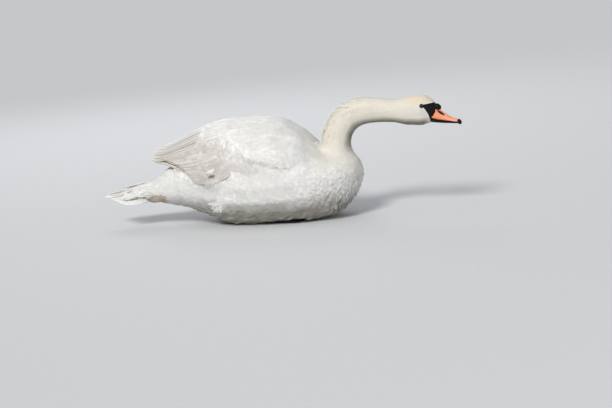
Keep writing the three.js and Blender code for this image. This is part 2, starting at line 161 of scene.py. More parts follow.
# %% Sockets that do sums
class Wire:
    """A shader socket that can be added, subtracted, multiplied and divided like a number."""

    def __init__(self, shader, socket):
        self.shader = shader
        self.socket = socket

    def sum(self, operation, *values):
        settings = {"operation": operation}
        return self.shader.node("ShaderNodeMath", settings, dict(enumerate(values)))

    def __add__(self, other):
        return self.sum("ADD", self, other)

    def __sub__(self, other):
        return self.sum("SUBTRACT", self, other)

    def __rsub__(self, other):
        return self.sum("SUBTRACT", other, self)

    def __mul__(self, other):
        return self.sum("MULTIPLY", self, other)

    def __truediv__(self, other):
        return self.sum("DIVIDE", self, other)

    def __abs__(self):
        return self.sum("ABSOLUTE", self)

    __radd__ = __add__
    __rmul__ = __mul__


print("sockets add, subtract, multiply and divide")


# %% A material under construction
class Shader:
    """A material, and methods that add nodes to it."""

    def __init__(self, name):
        self.material = bpy.data.materials.new(name)
        self.material.use_nodes = True
        self.tree = self.material.node_tree
        self.tree.nodes.clear()

    def node(self, kind, settings=None, values=None, output=0):
        """Add a node with its settings, and a value or a link for each of its sockets."""
        made = self.tree.nodes.new(kind)
        for name, value in (settings or {}).items():
            setattr(made, name, value)
        for name, value in (values or {}).items():
            if isinstance(value, Wire):
                self.tree.links.new(value.socket, made.inputs[name])
            else:
                made.inputs[name].default_value = value
        return Wire(self, made.outputs[output]) if len(made.outputs) else None

    def split(self, vector):
        """The three parts of a vector, as sockets of their own."""
        outputs = self.node("ShaderNodeSeparateXYZ", values={0: vector}).socket.node.outputs
        return [Wire(self, output) for output in outputs]

    def object_place(self):
        """A place on the object, and its x, y and z."""
        place = self.node("ShaderNodeTexCoord", output="Object")
        return place, *self.split(place)

    def stretched(self, place, scale):
        """A place multiplied by a scale for each axis, so that a pattern is drawn out along one."""
        return self.node("ShaderNodeMapping", values={"Vector": place, "Scale": scale})

    def mix(self, share, first, second):
        settings = {"data_type": "RGBA"}
        values = {0: share, 6: colour4(first), 7: colour4(second)}
        return self.node("ShaderNodeMix", settings, values, output=2)

    def noise(self, place, scale, detail=3):
        values = {"Vector": place, "Scale": scale, "Detail": detail}
        return self.node("ShaderNodeTexNoise", values=values)

    def bump(self, height, distance, strength=0.5):
        values = {"Height": height, "Distance": distance, "Strength": strength}
        return self.node("ShaderNodeBump", values=values)

    def painted(self, brightness):
        """The colour stored with each vertex, made lighter or darker."""
        tint = self.node("ShaderNodeVertexColor", {"layer_name": "tint"})
        return self.node("ShaderNodeVectorMath", {"operation": "SCALE"}, {0: tint, 3: brightness})

    def finish(self, **sockets):
        """Close the material with its surface, whose sockets are named with _ for each space."""
        values = {name.replace("_", " "): value for name, value in sockets.items()}
        surface = self.node("ShaderNodeBsdfPrincipled", values=values)
        self.node("ShaderNodeOutputMaterial", values={"Surface": surface})
        return self.material


def colour4(value):
    """A colour as a node wants it, with its alpha, or a socket as it is."""
    return value if isinstance(value, Wire) else (*value[:3], 1)


def give(piece, material):
    piece.data.materials.clear()
    piece.data.materials.append(material)


print("a material needs a name, its sums and its surface")


# %% Sums for sockets and arrays alike
def pick(operation, numeric, values):
    """Fold values with a Math node where one of them is a socket, and with numpy otherwise."""
    wires = [v for v in values if isinstance(v, Wire)]
    result = values[0]
    for value in values[1:]:
        result = wires[0].sum(operation, result, value) if wires else numeric(result, value)
    return result


def lowest(*values):
    return pick("MINIMUM", np.minimum, values)


def highest(*values):
    return pick("MAXIMUM", np.maximum, values)


def ramp(value, start, end):
    """0 before start, 1 past end and straight between, for sockets and arrays alike."""
    return lowest(highest((value - start) / (end - start), 0.0), 1.0)


print("a ramp from 2 to 4 gives", ramp(3.0, 2, 4), "at 3")

# %% [markdown]
# ## The bare face
# The bare black skin runs from the eye to the bill. Its edge is written once, as sums that work on
# shader sockets and on arrays, so that the painted skin and the feathers around it agree.


# %% Edges of the bare face
FACE_X = 0.44  # the black lies ahead of here
CHIN_Z = 0.280
GAPE_Z = 0.2745  # lower end of the black, at the corner of the mouth
REAR_EDGE_X, REAR_EDGE_SLOPE, REAR_EDGE_BEND = 0.472, 0.07, 9.25
BROW_X, BROW_Z, BROW_SLOPE = 0.458, 0.3255, 0.1


def lores(x, z):
    """How far a place on the side of the head is inside the bare black skin, in metres."""
    rise = z - CHIN_Z
    rear_edge = REAR_EDGE_X - rise * REAR_EDGE_SLOPE - rise * rise * REAR_EDGE_BEND
    upper_edge = BROW_Z + (x - BROW_X) * BROW_SLOPE
    return lowest(x - rear_edge, upper_edge - z, z - GAPE_Z)


EYE = {side: Vector((0.451, sign * 0.0260, 0.321)) for side, sign in SIDES.items()}
EYE_RADIUS = 0.008
print("eye centres", [[round(v, 4) for v in centre] for centre in EYE.values()])

# %% [markdown]
# ## One skin under the coat
# The solids of the flesh are parted by thin cuts. Copies of them are joined and rebuilt by a voxel
# remesh, which closes the cuts. The flat facets are then smoothed, more on the body than on the
# head, and the skin is drawn in by the depth of the coat that will lie over it.


# %% Copies, joins and cuts
SAME_PLACE = 1e-6  # corners of a solid nearer than this are one corner


def edit(piece, operator, **settings):
    """Open one mesh, run one edit-mode operator on all of it, and close it."""
    only(piece)
    bpy.ops.object.mode_set(mode="EDIT")
    bpy.ops.mesh.select_all(action="SELECT")
    operator(**settings)
    bpy.ops.object.mode_set(mode="OBJECT")


def join(pieces):
    """Join pieces into the first of them."""
    only(pieces[0])
    for piece in pieces[1:]:
        piece.select_set(True)
    if len(pieces) > 1:
        bpy.ops.object.join()
    return pieces[0]


def joined_copy(names, title):
    """A copy of some solids as one piece, with the corners of its triangles merged."""
    copies = []
    for name in names:
        twin = bpy.data.objects.new(title, NODES[name].data.copy())
        bpy.context.collection.objects.link(twin)
        copies.append(twin)
    piece = join(copies)
    piece.name = title
    edit(piece, bpy.ops.mesh.remove_doubles, threshold=SAME_PLACE)
    return piece


def cut_off_beyond(piece, place, direction):
    """Cut a piece by a plane, close the cut, and drop what lies beyond it."""
    edit(piece, bpy.ops.mesh.bisect, plane_co=place, plane_no=direction, clear_outer=True, use_fill=True)


print("corners within", SAME_PLACE, "m are merged")

# %% Modifiers and weights
WEIGHT_STEPS = 100


def apply_modifier(piece, kind, **settings):
    only(piece)
    modifier = piece.modifiers.new(kind.lower(), kind)
    for name, value in settings.items():
        setattr(modifier, name, value)
    bpy.ops.object.modifier_apply(modifier=modifier.name)


def vertex_places(piece):
    places = np.empty(len(piece.data.vertices) * 3)
    piece.data.vertices.foreach_get("co", places)
    return places.reshape(-1, 3)


def weigh(piece, group_name, weights):
    """Store one weight per vertex as a vertex group, in a hundred steps."""
    group = piece.vertex_groups.new(name=group_name)
    steps = np.round(np.clip(weights, 0, 1) * WEIGHT_STEPS).astype(int)
    for step in np.unique(steps):
        group.add(np.flatnonzero(steps == step).tolist(), step / WEIGHT_STEPS, "REPLACE")
    return group_name


def push_out(piece, name, shares, distance):
    """Move each vertex out by its share of a distance, or in where the distance is negative."""
    group = weigh(piece, name, shares)
    apply_modifier(piece, "DISPLACE", direction="NORMAL", strength=distance, mid_level=0, vertex_group=group)


def blend_by(value, start, end, first, second):
    """The first value before start, the second past end, and a straight change between."""
    share = ramp(value, start, end)
    return first * (1 - share) + second * share


print("weights are kept in", WEIGHT_STEPS, "steps")

# %% Join the flesh and close its cuts
FLESH = ["trunk", "neck_lower", "neck_middle", "neck_upper", "head", "tail"]
FLESH += [f"{part}_{side}" for part in ("wing", "primaries") for side in SIDES]
SKIN_VOXEL = 0.0036
TAIL_STUMP_X = -0.47  # the skin ends here, and only feathers go on
BILL_ROOT_X = 0.487  # the skin runs on under the base of the bill as far as this
skin = joined_copy(FLESH + [f"eye_{side}" for side in SIDES], "skin")
cut_off_beyond(skin, (TAIL_STUMP_X, 0, 0), (-1, 0, 0))
bill_root = joined_copy(["bill_upper", "bill_lower", "bill_knob"], "bill_root")
cut_off_beyond(bill_root, (BILL_ROOT_X, 0, 0), (1, 0, 0))
join([skin, bill_root])
apply_modifier(skin, "REMESH", mode="VOXEL", voxel_size=SKIN_VOXEL)
print("joined skin:", len(skin.data.polygons), "faces of", round(SKIN_VOXEL / MM, 1), "mm")

# %% Make the face finer and smooth the facets
FINE_X, FINE_Z = 0.40, 0.25  # the face lies ahead of and above these, and gets smaller faces
HEAD_X = 0.385
HEAD_SOFTNESS = 0.4  # share of the body's smoothing that the head gets
BODY_TOP_Z = 0.20
SMOOTHING_ROUNDS = 60
only(skin)
centres = np.array([face.center for face in skin.data.polygons])
skin.data.polygons.foreach_set("select", (centres[:, 0] > FINE_X) & (centres[:, 2] > FINE_Z))
bpy.ops.object.mode_set(mode="EDIT")
bpy.ops.mesh.select_mode(type="FACE")
bpy.ops.mesh.subdivide(number_cuts=1)
bpy.ops.object.mode_set(mode="OBJECT")

places = vertex_places(skin)
softness = blend_by(places[:, 0], HEAD_X - 0.02, HEAD_X + 0.04, 1.0, HEAD_SOFTNESS)
softness = np.where(places[:, 2] < BODY_TOP_Z, 1.0, softness)
weigh(skin, "softness", softness)
apply_modifier(skin, "SMOOTH", factor=0.5, iterations=SMOOTHING_ROUNDS, vertex_group="softness")
print("finer face:", len(skin.data.polygons), "faces")

# %% Draw the skin in by the depth of the coat
COAT_DEPTH = {  # in millimetres
    "face": 0.5, "head": 0.9, "neck": 0.6, "breast": 4.5, "body": 5.0, "tail": 3.0, "fan": 1.5,
    "pressed": 1.2,
}
NECK_X, NECK_Z = (0.13, 0.15), (0.20, 0.23)  # each pair is where one coat gives way to the next
BREAST_X, TAIL_X, FAN_X = (0.05, 0.20), (-0.36, -0.30), (-0.45, -0.39)
PRESSED_Z = (0.004, 0.045)  # under the belly the bird's weight presses the feathers flat


def coat_depth(places):
    """Depth of the feathers over each place, in metres."""
    x, _, z = places.T
    on_neck = ramp(z, *NECK_Z) * ramp(x, *NECK_X)
    body = blend_by(x, *BREAST_X, COAT_DEPTH["body"], COAT_DEPTH["breast"])
    body = blend_by(x, *TAIL_X, COAT_DEPTH["tail"], body)
    body = blend_by(x, *FAN_X, COAT_DEPTH["fan"], body)
    body = blend_by(z, *PRESSED_Z, COAT_DEPTH["pressed"], body)
    neck = blend_by(x, HEAD_X - 0.03, HEAD_X + 0.035, COAT_DEPTH["neck"], COAT_DEPTH["head"])
    neck = blend_by(x, FACE_X, FACE_X + 0.02, neck, COAT_DEPTH["face"])
    return (body * (1 - on_neck) + neck * on_neck) * MM


depth = coat_depth(vertex_places(skin))
deepest = depth.max()
push_out(skin, "depth", depth / deepest, -deepest)
print("coat up to", round(deepest / MM, 1), "mm deep")

# %% [markdown]
# ## Relief under the coat
# Feathers lie in groups, and a group makes a swell far wider than one feather. The scapulars over
# each wing form a shield with a raised lip, loose feathers fill out the throat, low humps run along
# the back, and soft folds cross the flank. These could be sculpted by hand. Here each is a share per
# vertex that a Displace modifier turns into height, so its place and its size are easy to change.


# %% Places and lines on the body
def patchy(places, size):
    """Soft patches between 0 and 1, about as wide as size, made of crossed waves."""
    x, y, z = (places / size).T
    waves = np.sin(x + 1.7 * np.sin(0.7 * z + 0.4)) + np.sin(1.3 * z + 1.9 * np.sin(0.8 * y))
    waves += np.sin(0.9 * y + 1.4 * np.sin(1.1 * x + 2.0))
    return waves / 6 + 0.5


def above_line(places, knots):
    """How far each place is above a line of knots in millimetres, seen from the side."""
    at = places[:, [0, 2]]
    best, height = np.full(len(at), np.inf), np.zeros(len(at))
    line = np.array(knots) * MM
    for start, end in zip(line, line[1:]):
        run = end - start
        share = np.clip((at - start) @ run / (run @ run), 0, 1)
        away = at - start - share[:, None] * run
        distance = np.hypot(*away.T)
        side_of = np.sign(run[0] * away[:, 1] - run[1] * away[:, 0])
        nearer = distance < best
        best, height = np.where(nearer, distance, best), np.where(nearer, distance * side_of, height)
    return height


LIP = [  # lower edge of the shield of scapulars, x and z in millimetres
    (-193, 287), (-154, 274), (-120, 261), (-96, 247), (-73, 232), (-56, 220), (-29, 213), (-3, 207),
    (15, 199), (32, 191), (52, 186), (66, 189), (77, 195),
]
print("the shield's lip runs", LIP[-1][0] - LIP[0][0], "mm along the side")


# %% Shield of scapulars
LIP_HEIGHT = 0.009
LIP_EDGE = 0.005  # half the width of the step at the lip
LIP_FADE = 0.075  # the shield is level with the back again this far above its lip
SHIELD_Y, SHIELD_Z = (0.05, 0.09), (0.165, 0.178)
SHIELD_FRONT_X, SHIELD_REAR_X = 0.11, -0.19


def shield(places):
    """A shield over each wing: a step at the lip, sloping back to nothing above it."""
    x, y, z = places.T
    height = above_line(places, LIP)
    share = ramp(height, -LIP_EDGE, LIP_EDGE) * ramp(LIP_FADE - height, 0, LIP_FADE - 0.004) ** 0.7
    share *= ramp(abs(y), *SHIELD_Y) * ramp(z, *SHIELD_Z)
    share *= ramp(SHIELD_FRONT_X - x, 0, 0.04) * ramp(x - SHIELD_REAR_X, 0, 0.07)
    return share


print("shield", LIP_HEIGHT / MM, "mm high at its lip")

# %% Throat
THROAT_DEPTH = 0.0065
THROAT_X, THROAT_SHARE = (0.412, 0.430, 0.446, 0.456, 0.465, 0.476), (0, 0.5, 1, 0.95, 0.7, 0)
THROAT_TOP_Z = 0.292


def throat(places):
    """Loose feathers that fill out the throat under the cheek."""
    x, _, z = places.T
    return np.interp(x, THROAT_X, THROAT_SHARE) * ramp(THROAT_TOP_Z - z, 0, 0.014)


print("throat", THROAT_DEPTH / MM, "mm deeper")

# %% Folds of the flank
FOLD_SIZE = 0.013
FOLD_HEIGHT = 0.0055
FOLDS_X, FOLDS_Z = (-0.24, -0.16), (0.05, 0.09)
FOLDS_FRONT_X, FOLDS_TOP_Z = 0.16, 0.30


def folds(places):
    """Soft folds over flank and shield, where feathers lie in groups."""
    x, _, z = places.T
    share = patchy(places, FOLD_SIZE) ** 1.5 * ramp(x, *FOLDS_X) * ramp(FOLDS_FRONT_X - x, 0, 0.08)
    share *= ramp(z, *FOLDS_Z)
    share *= ramp(FOLDS_TOP_Z - z, 0, 0.05)
    return share


print("folds up to", FOLD_HEIGHT / MM, "mm high")

# %% Crown of the back
CROWN_X = (-310, -257, -227, -204, -164, -135, -79, -24, 30, 100)  # places along the back, in millimetres
CROWN_RISE = (0, 3, 4, 11, 4, 8, 7, 7, 9, 0)  # how far the feathers stand up there
CROWN_Y, CROWN_Z = 0.105, (0.18, 0.24)
HIGHEST_CROWN = max(CROWN_RISE) * MM


def crown(places):
    """Humps along the back."""
    x, y, z = places.T
    share = np.interp(x / MM, CROWN_X, CROWN_RISE) * MM / HIGHEST_CROWN
    share *= ramp(CROWN_Y - abs(y), 0, 0.06) * ramp(z, *CROWN_Z)
    return share


print("humps up to", max(CROWN_RISE), "mm high")

# %% Push out the relief
RELIEF = {
    "shield": (shield, LIP_HEIGHT), "throat": (throat, THROAT_DEPTH), "folds": (folds, FOLD_HEIGHT),
    "crown": (crown, HIGHEST_CROWN),
}
LAST_ROUNDS = 5
places = vertex_places(skin)
shares = [share_at(places) for share_at, _ in RELIEF.values()]  # all from one state of the skin
for (name, (_, height)), share in zip(RELIEF.items(), shares):
    push_out(skin, name, share, height)
apply_modifier(skin, "SMOOTH", factor=0.5, iterations=LAST_ROUNDS)
skin.vertex_groups.clear()
skin.data.shade_smooth()
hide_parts(*FLESH)
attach(skin, "root")
print("skin:", len(skin.data.polygons), "faces, with", len(RELIEF), "kinds of relief")

# %% [markdown]
# ## Markings
# A mute swan is white, but not one white. Head and neck are stained cream and the cap is buff. The long
# wing feathers are a warm grey beige, partly their own colour and partly painted shade where the wing
# turns under, and painted darker still towards their lower rear edge. The belly is stained by the
# shore, and the same olive also darkens the lowest coat as painted shade. Painted shade lies as well
# under the neck, in the crease under the lip of the shield and on the flank below the wing's rear
# edge. One function gives the colour of any place, and both the skin and the feathers over it are
# painted with it, so that a gap between two feathers never shows.

# %% Colours of the plumage
WHITE = (0.88, 0.87, 0.845)
SHADED_WHITE = (0.75, 0.745, 0.73)
CHEEK_WHITE = (0.87, 0.85, 0.80)
CREAM = (0.88, 0.825, 0.70)
CREAM_VANE = (0.84, 0.77, 0.63)
BUFF = (0.92, 0.785, 0.60)
BEIGE = (0.62, 0.58, 0.54)
DUSK = (0.49, 0.45, 0.40)
TAN = (0.38, 0.275, 0.15)
OLIVE = (0.20, 0.165, 0.095)
UNDERSIDE = (0.13, 0.105, 0.06)
print("white, and ten shades beside it")

# %% Places of the markings, in millimetres
# In a pair, a marking starts at the first number and is at its full at the second.
STAIN_X, STAIN_Z = (110, 160), (120, 235)
CAP_X, CAP_Z = (385, 405), (320, 338)
CHEEK_X, CHEEK_Z, CHEEK_TOP_Z = (425, 445), (276, 288), 328
UNDER_NECK = [  # middle of the shaded strip under the neck, x and z
    (224, 196), (230, 225), (237, 248), (250, 267), (276, 276), (340, 278), (400, 270), (440, 268),
    (468, 272),
]
UNDER_NECK_HALF, UNDER_NECK_Z, UNDER_NECK_END_X = 20, (196, 222), 474
WING_EDGE = [  # lower edge of the folded wing and of its beige coverts, x and z
    (-392, 203), (-351, 204), (-332, 203), (-315, 199), (-299, 193), (-282, 185), (-267, 176), (-253, 158),
    (-240, 145), (-229, 139), (-216, 135), (-193, 132), (-162, 126), (-157, 137), (-150, 148), (-121, 162),
    (-87, 167), (21, 169), (60, 178),
]
WING_EDGE_X, WING_EDGE_Z = zip(*WING_EDGE)
BEIGE_X, BEIGE_SHARE = (-160, -60, -20, 40), (1, 0.75, 0.4, 0)  # the beige fades out towards the shoulder
# painted shade on the lower rear of the wing lies below this height and behind this x
LOWER_WING_SHADE_TOP_Z, LOWER_WING_SHADE_FRONT_X = 215, -100
SHADE_BELOW, SHADE_FRONT_X = 24, -300  # the flank is shaded this far below the wing's rear edge
# the crease is painted shade just under the lip of the shield, this wide and this far below it
CREASE_HALF, CREASE_BELOW, CREASE_X, CREASE_FRONT_X, CREASE_Y = 10, 6, (-90, -60), 82, (60, 90)
BAND_WIDTH, BAND_FRONT_X, BAND_Y = 13, -268, (12, 24)  # pale primaries along the rear of the wing's edge
# soil and painted shade low on the body, with an uneven upper edge
SOIL_AND_SHADE_HEIGHT, SOIL_AND_SHADE_PATCHES = 76, ((16, 0.018), (14, 0.006))  # height and size of its uneven upper edge
SOIL_AND_SHADE_FRONT_X, SOIL_AND_SHADE_REAR_X = 255, (-340, -290)
VENT_FRONT_X, VENT_REAR_X, VENT_TOP_Z, VENT_Y = -338, -418, 102, (26, 40)
STRENGTH = {  # the largest share of each marking's colour
    "stain": 0.85, "cap": 0.75, "cheek": 0.6, "dusk": 0.35, "crease": 0.55, "shade": 0.6, "band": 0.9,
}
print("wing's edge from x", WING_EDGE_X[0], "to", WING_EDGE_X[-1], "mm")


# %% Colour of any place
def markings(places):
    """Colour of the coat at each place, as linear red, green and blue.

    The sums are in millimetres, and each ramp goes from where a marking starts to where it is full.
    """
    x, y, z = places.T / MM
    side = np.abs(y)
    colour = np.tile(WHITE, (len(places), 1))

    def paint(share, tone):
        nonlocal colour
        colour = colour + (np.array(tone) - colour) * np.clip(share, 0, 1)[:, None]

    stain = ramp(x, *STAIN_X) * ramp(z, *STAIN_Z)
    paint(stain * STRENGTH["stain"], CREAM)
    paint(ramp(x, *CAP_X) * ramp(z, *CAP_Z) * STRENGTH["cap"], BUFF)
    cheek = ramp(x, *CHEEK_X) * ramp(CHEEK_TOP_Z - z, 0, 10) * ramp(z, *CHEEK_Z)
    paint(cheek * STRENGTH["cheek"], CHEEK_WHITE)
    # painted shade with some stain: a dark strip along the underside of the neck
    under_neck = ramp(UNDER_NECK_HALF - abs(above_line(places, UNDER_NECK)) / MM, 0, 16)
    under_neck = under_neck * ramp(z, *UNDER_NECK_Z)
    uneven = 0.65 + 0.35 * patchy(places, 0.009)
    paint(under_neck * uneven * ramp(UNDER_NECK_END_X - x, 0, 20), UNDERSIDE)

    wing_edge = np.interp(x, WING_EDGE_X, WING_EDGE_Z)
    below_lip = -above_line(places, LIP) / MM
    # beige on the rear of the wing: partly the feathers' own warm grey, partly painted shade where the wing
    # turns under
    rear_wing = ramp(z - wing_edge, -3, 5) * ramp(below_lip, -12, 34) * ramp(side, 8, 40)
    rear_wing *= np.interp(x, BEIGE_X, BEIGE_SHARE)
    paint(rear_wing * (0.84 + 0.16 * patchy(places, 0.03)), BEIGE)
    # painted shade: the beige of the wing darkens towards its lower edge and its rear
    lower_wing_shade = rear_wing * ramp(LOWER_WING_SHADE_TOP_Z - z, 0, 60) * ramp(LOWER_WING_SHADE_FRONT_X - x, 0, 60)
    paint(lower_wing_shade * STRENGTH["dusk"], DUSK)
    # painted shade in the crease under the lip of the shield
    crease = ramp(CREASE_HALF - abs(below_lip - CREASE_BELOW), 0, 8) * ramp(x, *CREASE_X)
    crease = crease * ramp(CREASE_FRONT_X - x, 0, 12) * ramp(side, *CREASE_Y)
    paint(crease * STRENGTH["crease"], DUSK)
    shade = ramp(SHADE_FRONT_X - x, -40, 40) * ramp(wing_edge - SHADE_BELOW - z, 0, 10)
    paint(shade * STRENGTH["shade"], SHADED_WHITE)
    band = ramp(wing_edge - z, -1, 2) * ramp(z - wing_edge + BAND_WIDTH, 0, 3)
    band = band * ramp(BAND_FRONT_X - x, 0, 10) * ramp(side, *BAND_Y)
    paint(band * STRENGTH["band"], CREAM_VANE)

    # soil on the lower belly together with painted shade: the coat is darker towards the bottom
    reach = SOIL_AND_SHADE_HEIGHT
    for height, size in SOIL_AND_SHADE_PATCHES:
        reach = reach + height * patchy(places, size)
    soil_and_shade = ramp(reach - z, -4, 44) * ramp(SOIL_AND_SHADE_FRONT_X - x, -10, 30) * ramp(x, *SOIL_AND_SHADE_REAR_X)
    paint(soil_and_shade * (0.5 + 0.35 * patchy(places, 0.009)), OLIVE)
    vent = ramp(VENT_FRONT_X - x, -6, 6) * ramp(x - VENT_REAR_X, -6, 6) * ramp(VENT_TOP_Z - z, 0, 8)
    paint(vent * ramp(side, *VENT_Y) * (0.45 + 0.5 * patchy(places, 0.008)), TAN)
    return colour


def tint_points(mesh, colours):
    """Store one colour per vertex, under the name that the materials read."""
    paint = mesh.color_attributes.new("tint", "FLOAT_COLOR", "POINT")
    paint.data.foreach_set("color", np.append(colours, np.ones((len(colours), 1)), 1).ravel())


tint_points(skin.data, markings(vertex_places(skin)))
print("skin painted from", len(skin.data.vertices), "places")

# %% [markdown]
# ## Finding places on the skin
# Feathers grow from the skin and bend with it. The skin is stored as arrays with a search tree, so
# that thousands of places can be dropped onto it, each with its normal and its spot on the skin's
# own unwrap. The unwrap cuts the skin into patches by the way it faces, and every feather later
# keeps a tiny square there, at its root.

# %% Unwrap of the skin
UNWRAP_ANGLE = math.radians(66)
UNWRAP_GAP = 0.004
edit(skin, bpy.ops.uv.smart_project, angle_limit=UNWRAP_ANGLE, island_margin=UNWRAP_GAP)
skin.data.uv_layers[0].name = "OFBake"
print("unwrapped at", round(math.degrees(UNWRAP_ANGLE)), "degrees")

# %% Even spacing
NEVER_ZERO = 1e-12


def unit(vectors):
    return vectors / np.maximum(np.linalg.norm(vectors, axis=-1, keepdims=True), NEVER_ZERO)


def thin_out(points, gaps):
    """Keep each point that has no kept point within its gap, with the help of a grid of cells."""
    cell = gaps.max()
    grid = {}
    kept = []
    keys = np.floor(points / cell).astype(int).tolist()
    steps = [(i, j, k) for i in (-1, 0, 1) for j in (-1, 0, 1) for k in (-1, 0, 1)]
    for number, ((x, y, z), (i, j, k), gap) in enumerate(zip(points.tolist(), keys, gaps.tolist())):
        reach = gap * gap
        crowded = any(
            (x - u) ** 2 + (y - v) ** 2 + (z - w) ** 2 < reach
            for di, dj, dk in steps
            for u, v, w in grid.get((i + di, j + dj, k + dk), ())
        )
        if not crowded:
            grid.setdefault((i, j, k), []).append((x, y, z))
            kept.append(number)
    return np.array(kept)


IN_A_ROW = np.array([(0, 0, 0), (1, 0, 0), (3, 0, 0)])
print("of places at 0, 1 and 3, a gap of 2 keeps numbers", thin_out(IN_A_ROW, np.full(3, 2.0)).tolist())

# %% The skin as a searchable surface
FLATTEST = 1e-20  # keeps a triangle of no width from dividing by nothing
CROWDING = 5  # places tried for each square gap of skin


class Surface:
    """A triangle mesh held as arrays, for scattering roots and dropping points onto it."""

    def __init__(self, piece):
        mesh = piece.data
        mesh.calc_loop_triangles()
        count = len(mesh.loop_triangles)
        corners, loops = np.empty(count * 3, int), np.empty(count * 3, int)
        mesh.loop_triangles.foreach_get("vertices", corners)
        mesh.loop_triangles.foreach_get("loops", loops)
        normals, uv = np.empty(len(mesh.vertices) * 3), np.empty(len(mesh.loops) * 2)
        mesh.vertices.foreach_get("normal", normals)
        mesh.uv_layers[0].data.foreach_get("uv", uv)
        self.corners = corners.reshape(-1, 3)
        self.triangles = vertex_places(piece)[self.corners]
        self.normals = normals.reshape(-1, 3)[self.corners]
        self.uv = uv.reshape(-1, 2)[loops].reshape(-1, 3, 2)
        self.centres = self.triangles.mean(axis=1)
        edges = self.triangles[:, 1:] - self.triangles[:, :1]
        self.areas = np.linalg.norm(np.cross(edges[:, 0], edges[:, 1]), axis=1) / 2
        self.tree = BVHTree.FromPolygons(vertex_places(piece).tolist(), self.corners.tolist())

    def shares(self, points, index):
        """How much of each corner there is at a point of a triangle."""
        a, b, c = self.triangles[index].transpose(1, 0, 2)
        ab, ac, ap = b - a, c - a, points - a
        d00, d01, d11 = (ab * ab).sum(1), (ab * ac).sum(1), (ac * ac).sum(1)
        d20, d21 = (ap * ab).sum(1), (ap * ac).sum(1)
        whole = np.maximum(d00 * d11 - d01 * d01, FLATTEST)
        second = (d11 * d20 - d01 * d21) / whole
        third = (d00 * d21 - d01 * d20) / whole
        return np.stack([1 - second - third, second, third], axis=1)[..., None]

    def drop(self, points):
        """The nearest places of the surface, with their smooth normals and spots on the unwrap."""
        find = self.tree.find_nearest
        found = [find(point) for point in points.reshape(-1, 3).tolist()]
        places = np.array([hit[0] for hit in found])
        index = np.array([hit[2] for hit in found])
        shares = self.shares(places, index)
        normals = unit((shares * self.normals[index]).sum(1))
        uv = (shares * self.uv[index]).sum(1)
        return places.reshape(points.shape), normals.reshape(points.shape), uv

    def scatter(self, gaps, allowed, draw):
        """Roots no nearer to each other than the gap that each triangle asks for."""
        density = self.areas * allowed / gaps**2
        tries = int(density.sum() * CROWDING)
        index = draw.choice(len(density), tries, p=density / density.sum())
        first, second = np.sqrt(draw.random(tries)), draw.random(tries)
        shares = np.stack([1 - first, first * (1 - second), first * second], axis=1)[..., None]
        points = (shares * self.triangles[index]).sum(1)
        kept = thin_out(points, gaps[index])
        index, shares = index[kept], shares[kept]
        normals = unit((shares * self.normals[index]).sum(1))
        return points[kept], normals, (shares * self.uv[index]).sum(1)


surface = Surface(skin)
print("skin area", round(surface.areas.sum(), 3), "square metres in", len(surface.areas), "triangles")

# %% [markdown]
# ## Parts of the coat
# Each triangle of the skin belongs to the solid nearest to it. That tells wing from flank and neck
# from breast, and splits the coat into pieces of a handy size.

# %% Parts by nearest solid
PARTS = {
    "head": ["head"],
    "neck": ["neck_lower", "neck_middle", "neck_upper"],
    "trunk": ["trunk"],
    "tail": ["tail"],
    **{f"wing_{side}": [f"wing_{side}", f"primaries_{side}"] for side in SIDES},
}
PART_NUMBER = {name: number for number, name in enumerate(PARTS)}
corner_places, corner_sets, owners = [], [], []
for part, names in PARTS.items():
    for name in names:
        mesh = NODES[name].data
        offset = len(corner_places)
        corner_places += [tuple(corner.co) for corner in mesh.vertices]
        corner_sets += [[offset + i for i in face.vertices] for face in mesh.polygons]
        owners += [PART_NUMBER[part]] * len(mesh.polygons)
flesh_tree = BVHTree.FromPolygons(corner_places, corner_sets)
part_of = np.array([owners[flesh_tree.find_nearest(p)[2]] for p in surface.centres.tolist()])
print({name: int((part_of == number).sum()) for name, number in PART_NUMBER.items()})

# %% [markdown]
# ## The lie of the coat
# Feathers point away from the bill: back over the head, down the neck, round the breast and along
# the body to the tail. A few guides say which way they lie and how long they are near them, and
# every other place takes a mean of the guides, weighted by nearness.

# %% Guides for the lie and length of the feathers
CENTRE_GUIDES = [  # x and z, direction in x and z, and feather length, in millimetres
    ((485, 340), (-0.8, 0.6), 5), ((455, 352), (-1, 0.05), 6), ((400, 347), (-1, -0.1), 9),
    ((462, 272), (-1, -0.1), 6), ((340, 345), (-1, 0.05), 12), ((340, 278), (-1, 0.03), 12),
    ((280, 354), (-1, -0.02), 13), ((276, 276), (-1, -0.2), 12), ((215, 340), (-0.75, -0.7), 14),
    ((248, 268), (-0.6, -0.8), 13), ((160, 285), (-0.4, -1), 15), ((230, 225), (0, -1), 14),
    ((141, 235), (-0.2, -1), 16), ((245, 187), (0.3, -1), 16), ((263, 135), (-0.1, -1), 18),
    ((235, 70), (-0.5, -1), 18), ((160, 8), (-1, -0.1), 22), ((0, 0), (-1, 0), 26),
    ((-200, 12), (-1, 0.2), 28), ((-330, 58), (-1, 0.15), 30), ((100, 240), (-1, 0.6), 24),
    ((0, 310), (-1, 0), 45), ((-150, 310), (-1, -0.1), 55), ((-300, 262), (-1, -0.3), 55),
    ((-345, 165), (-1, -0.4), 38), ((-440, 128), (-1, -0.2), 42), ((-440, 85), (-1, 0.15), 34),
]
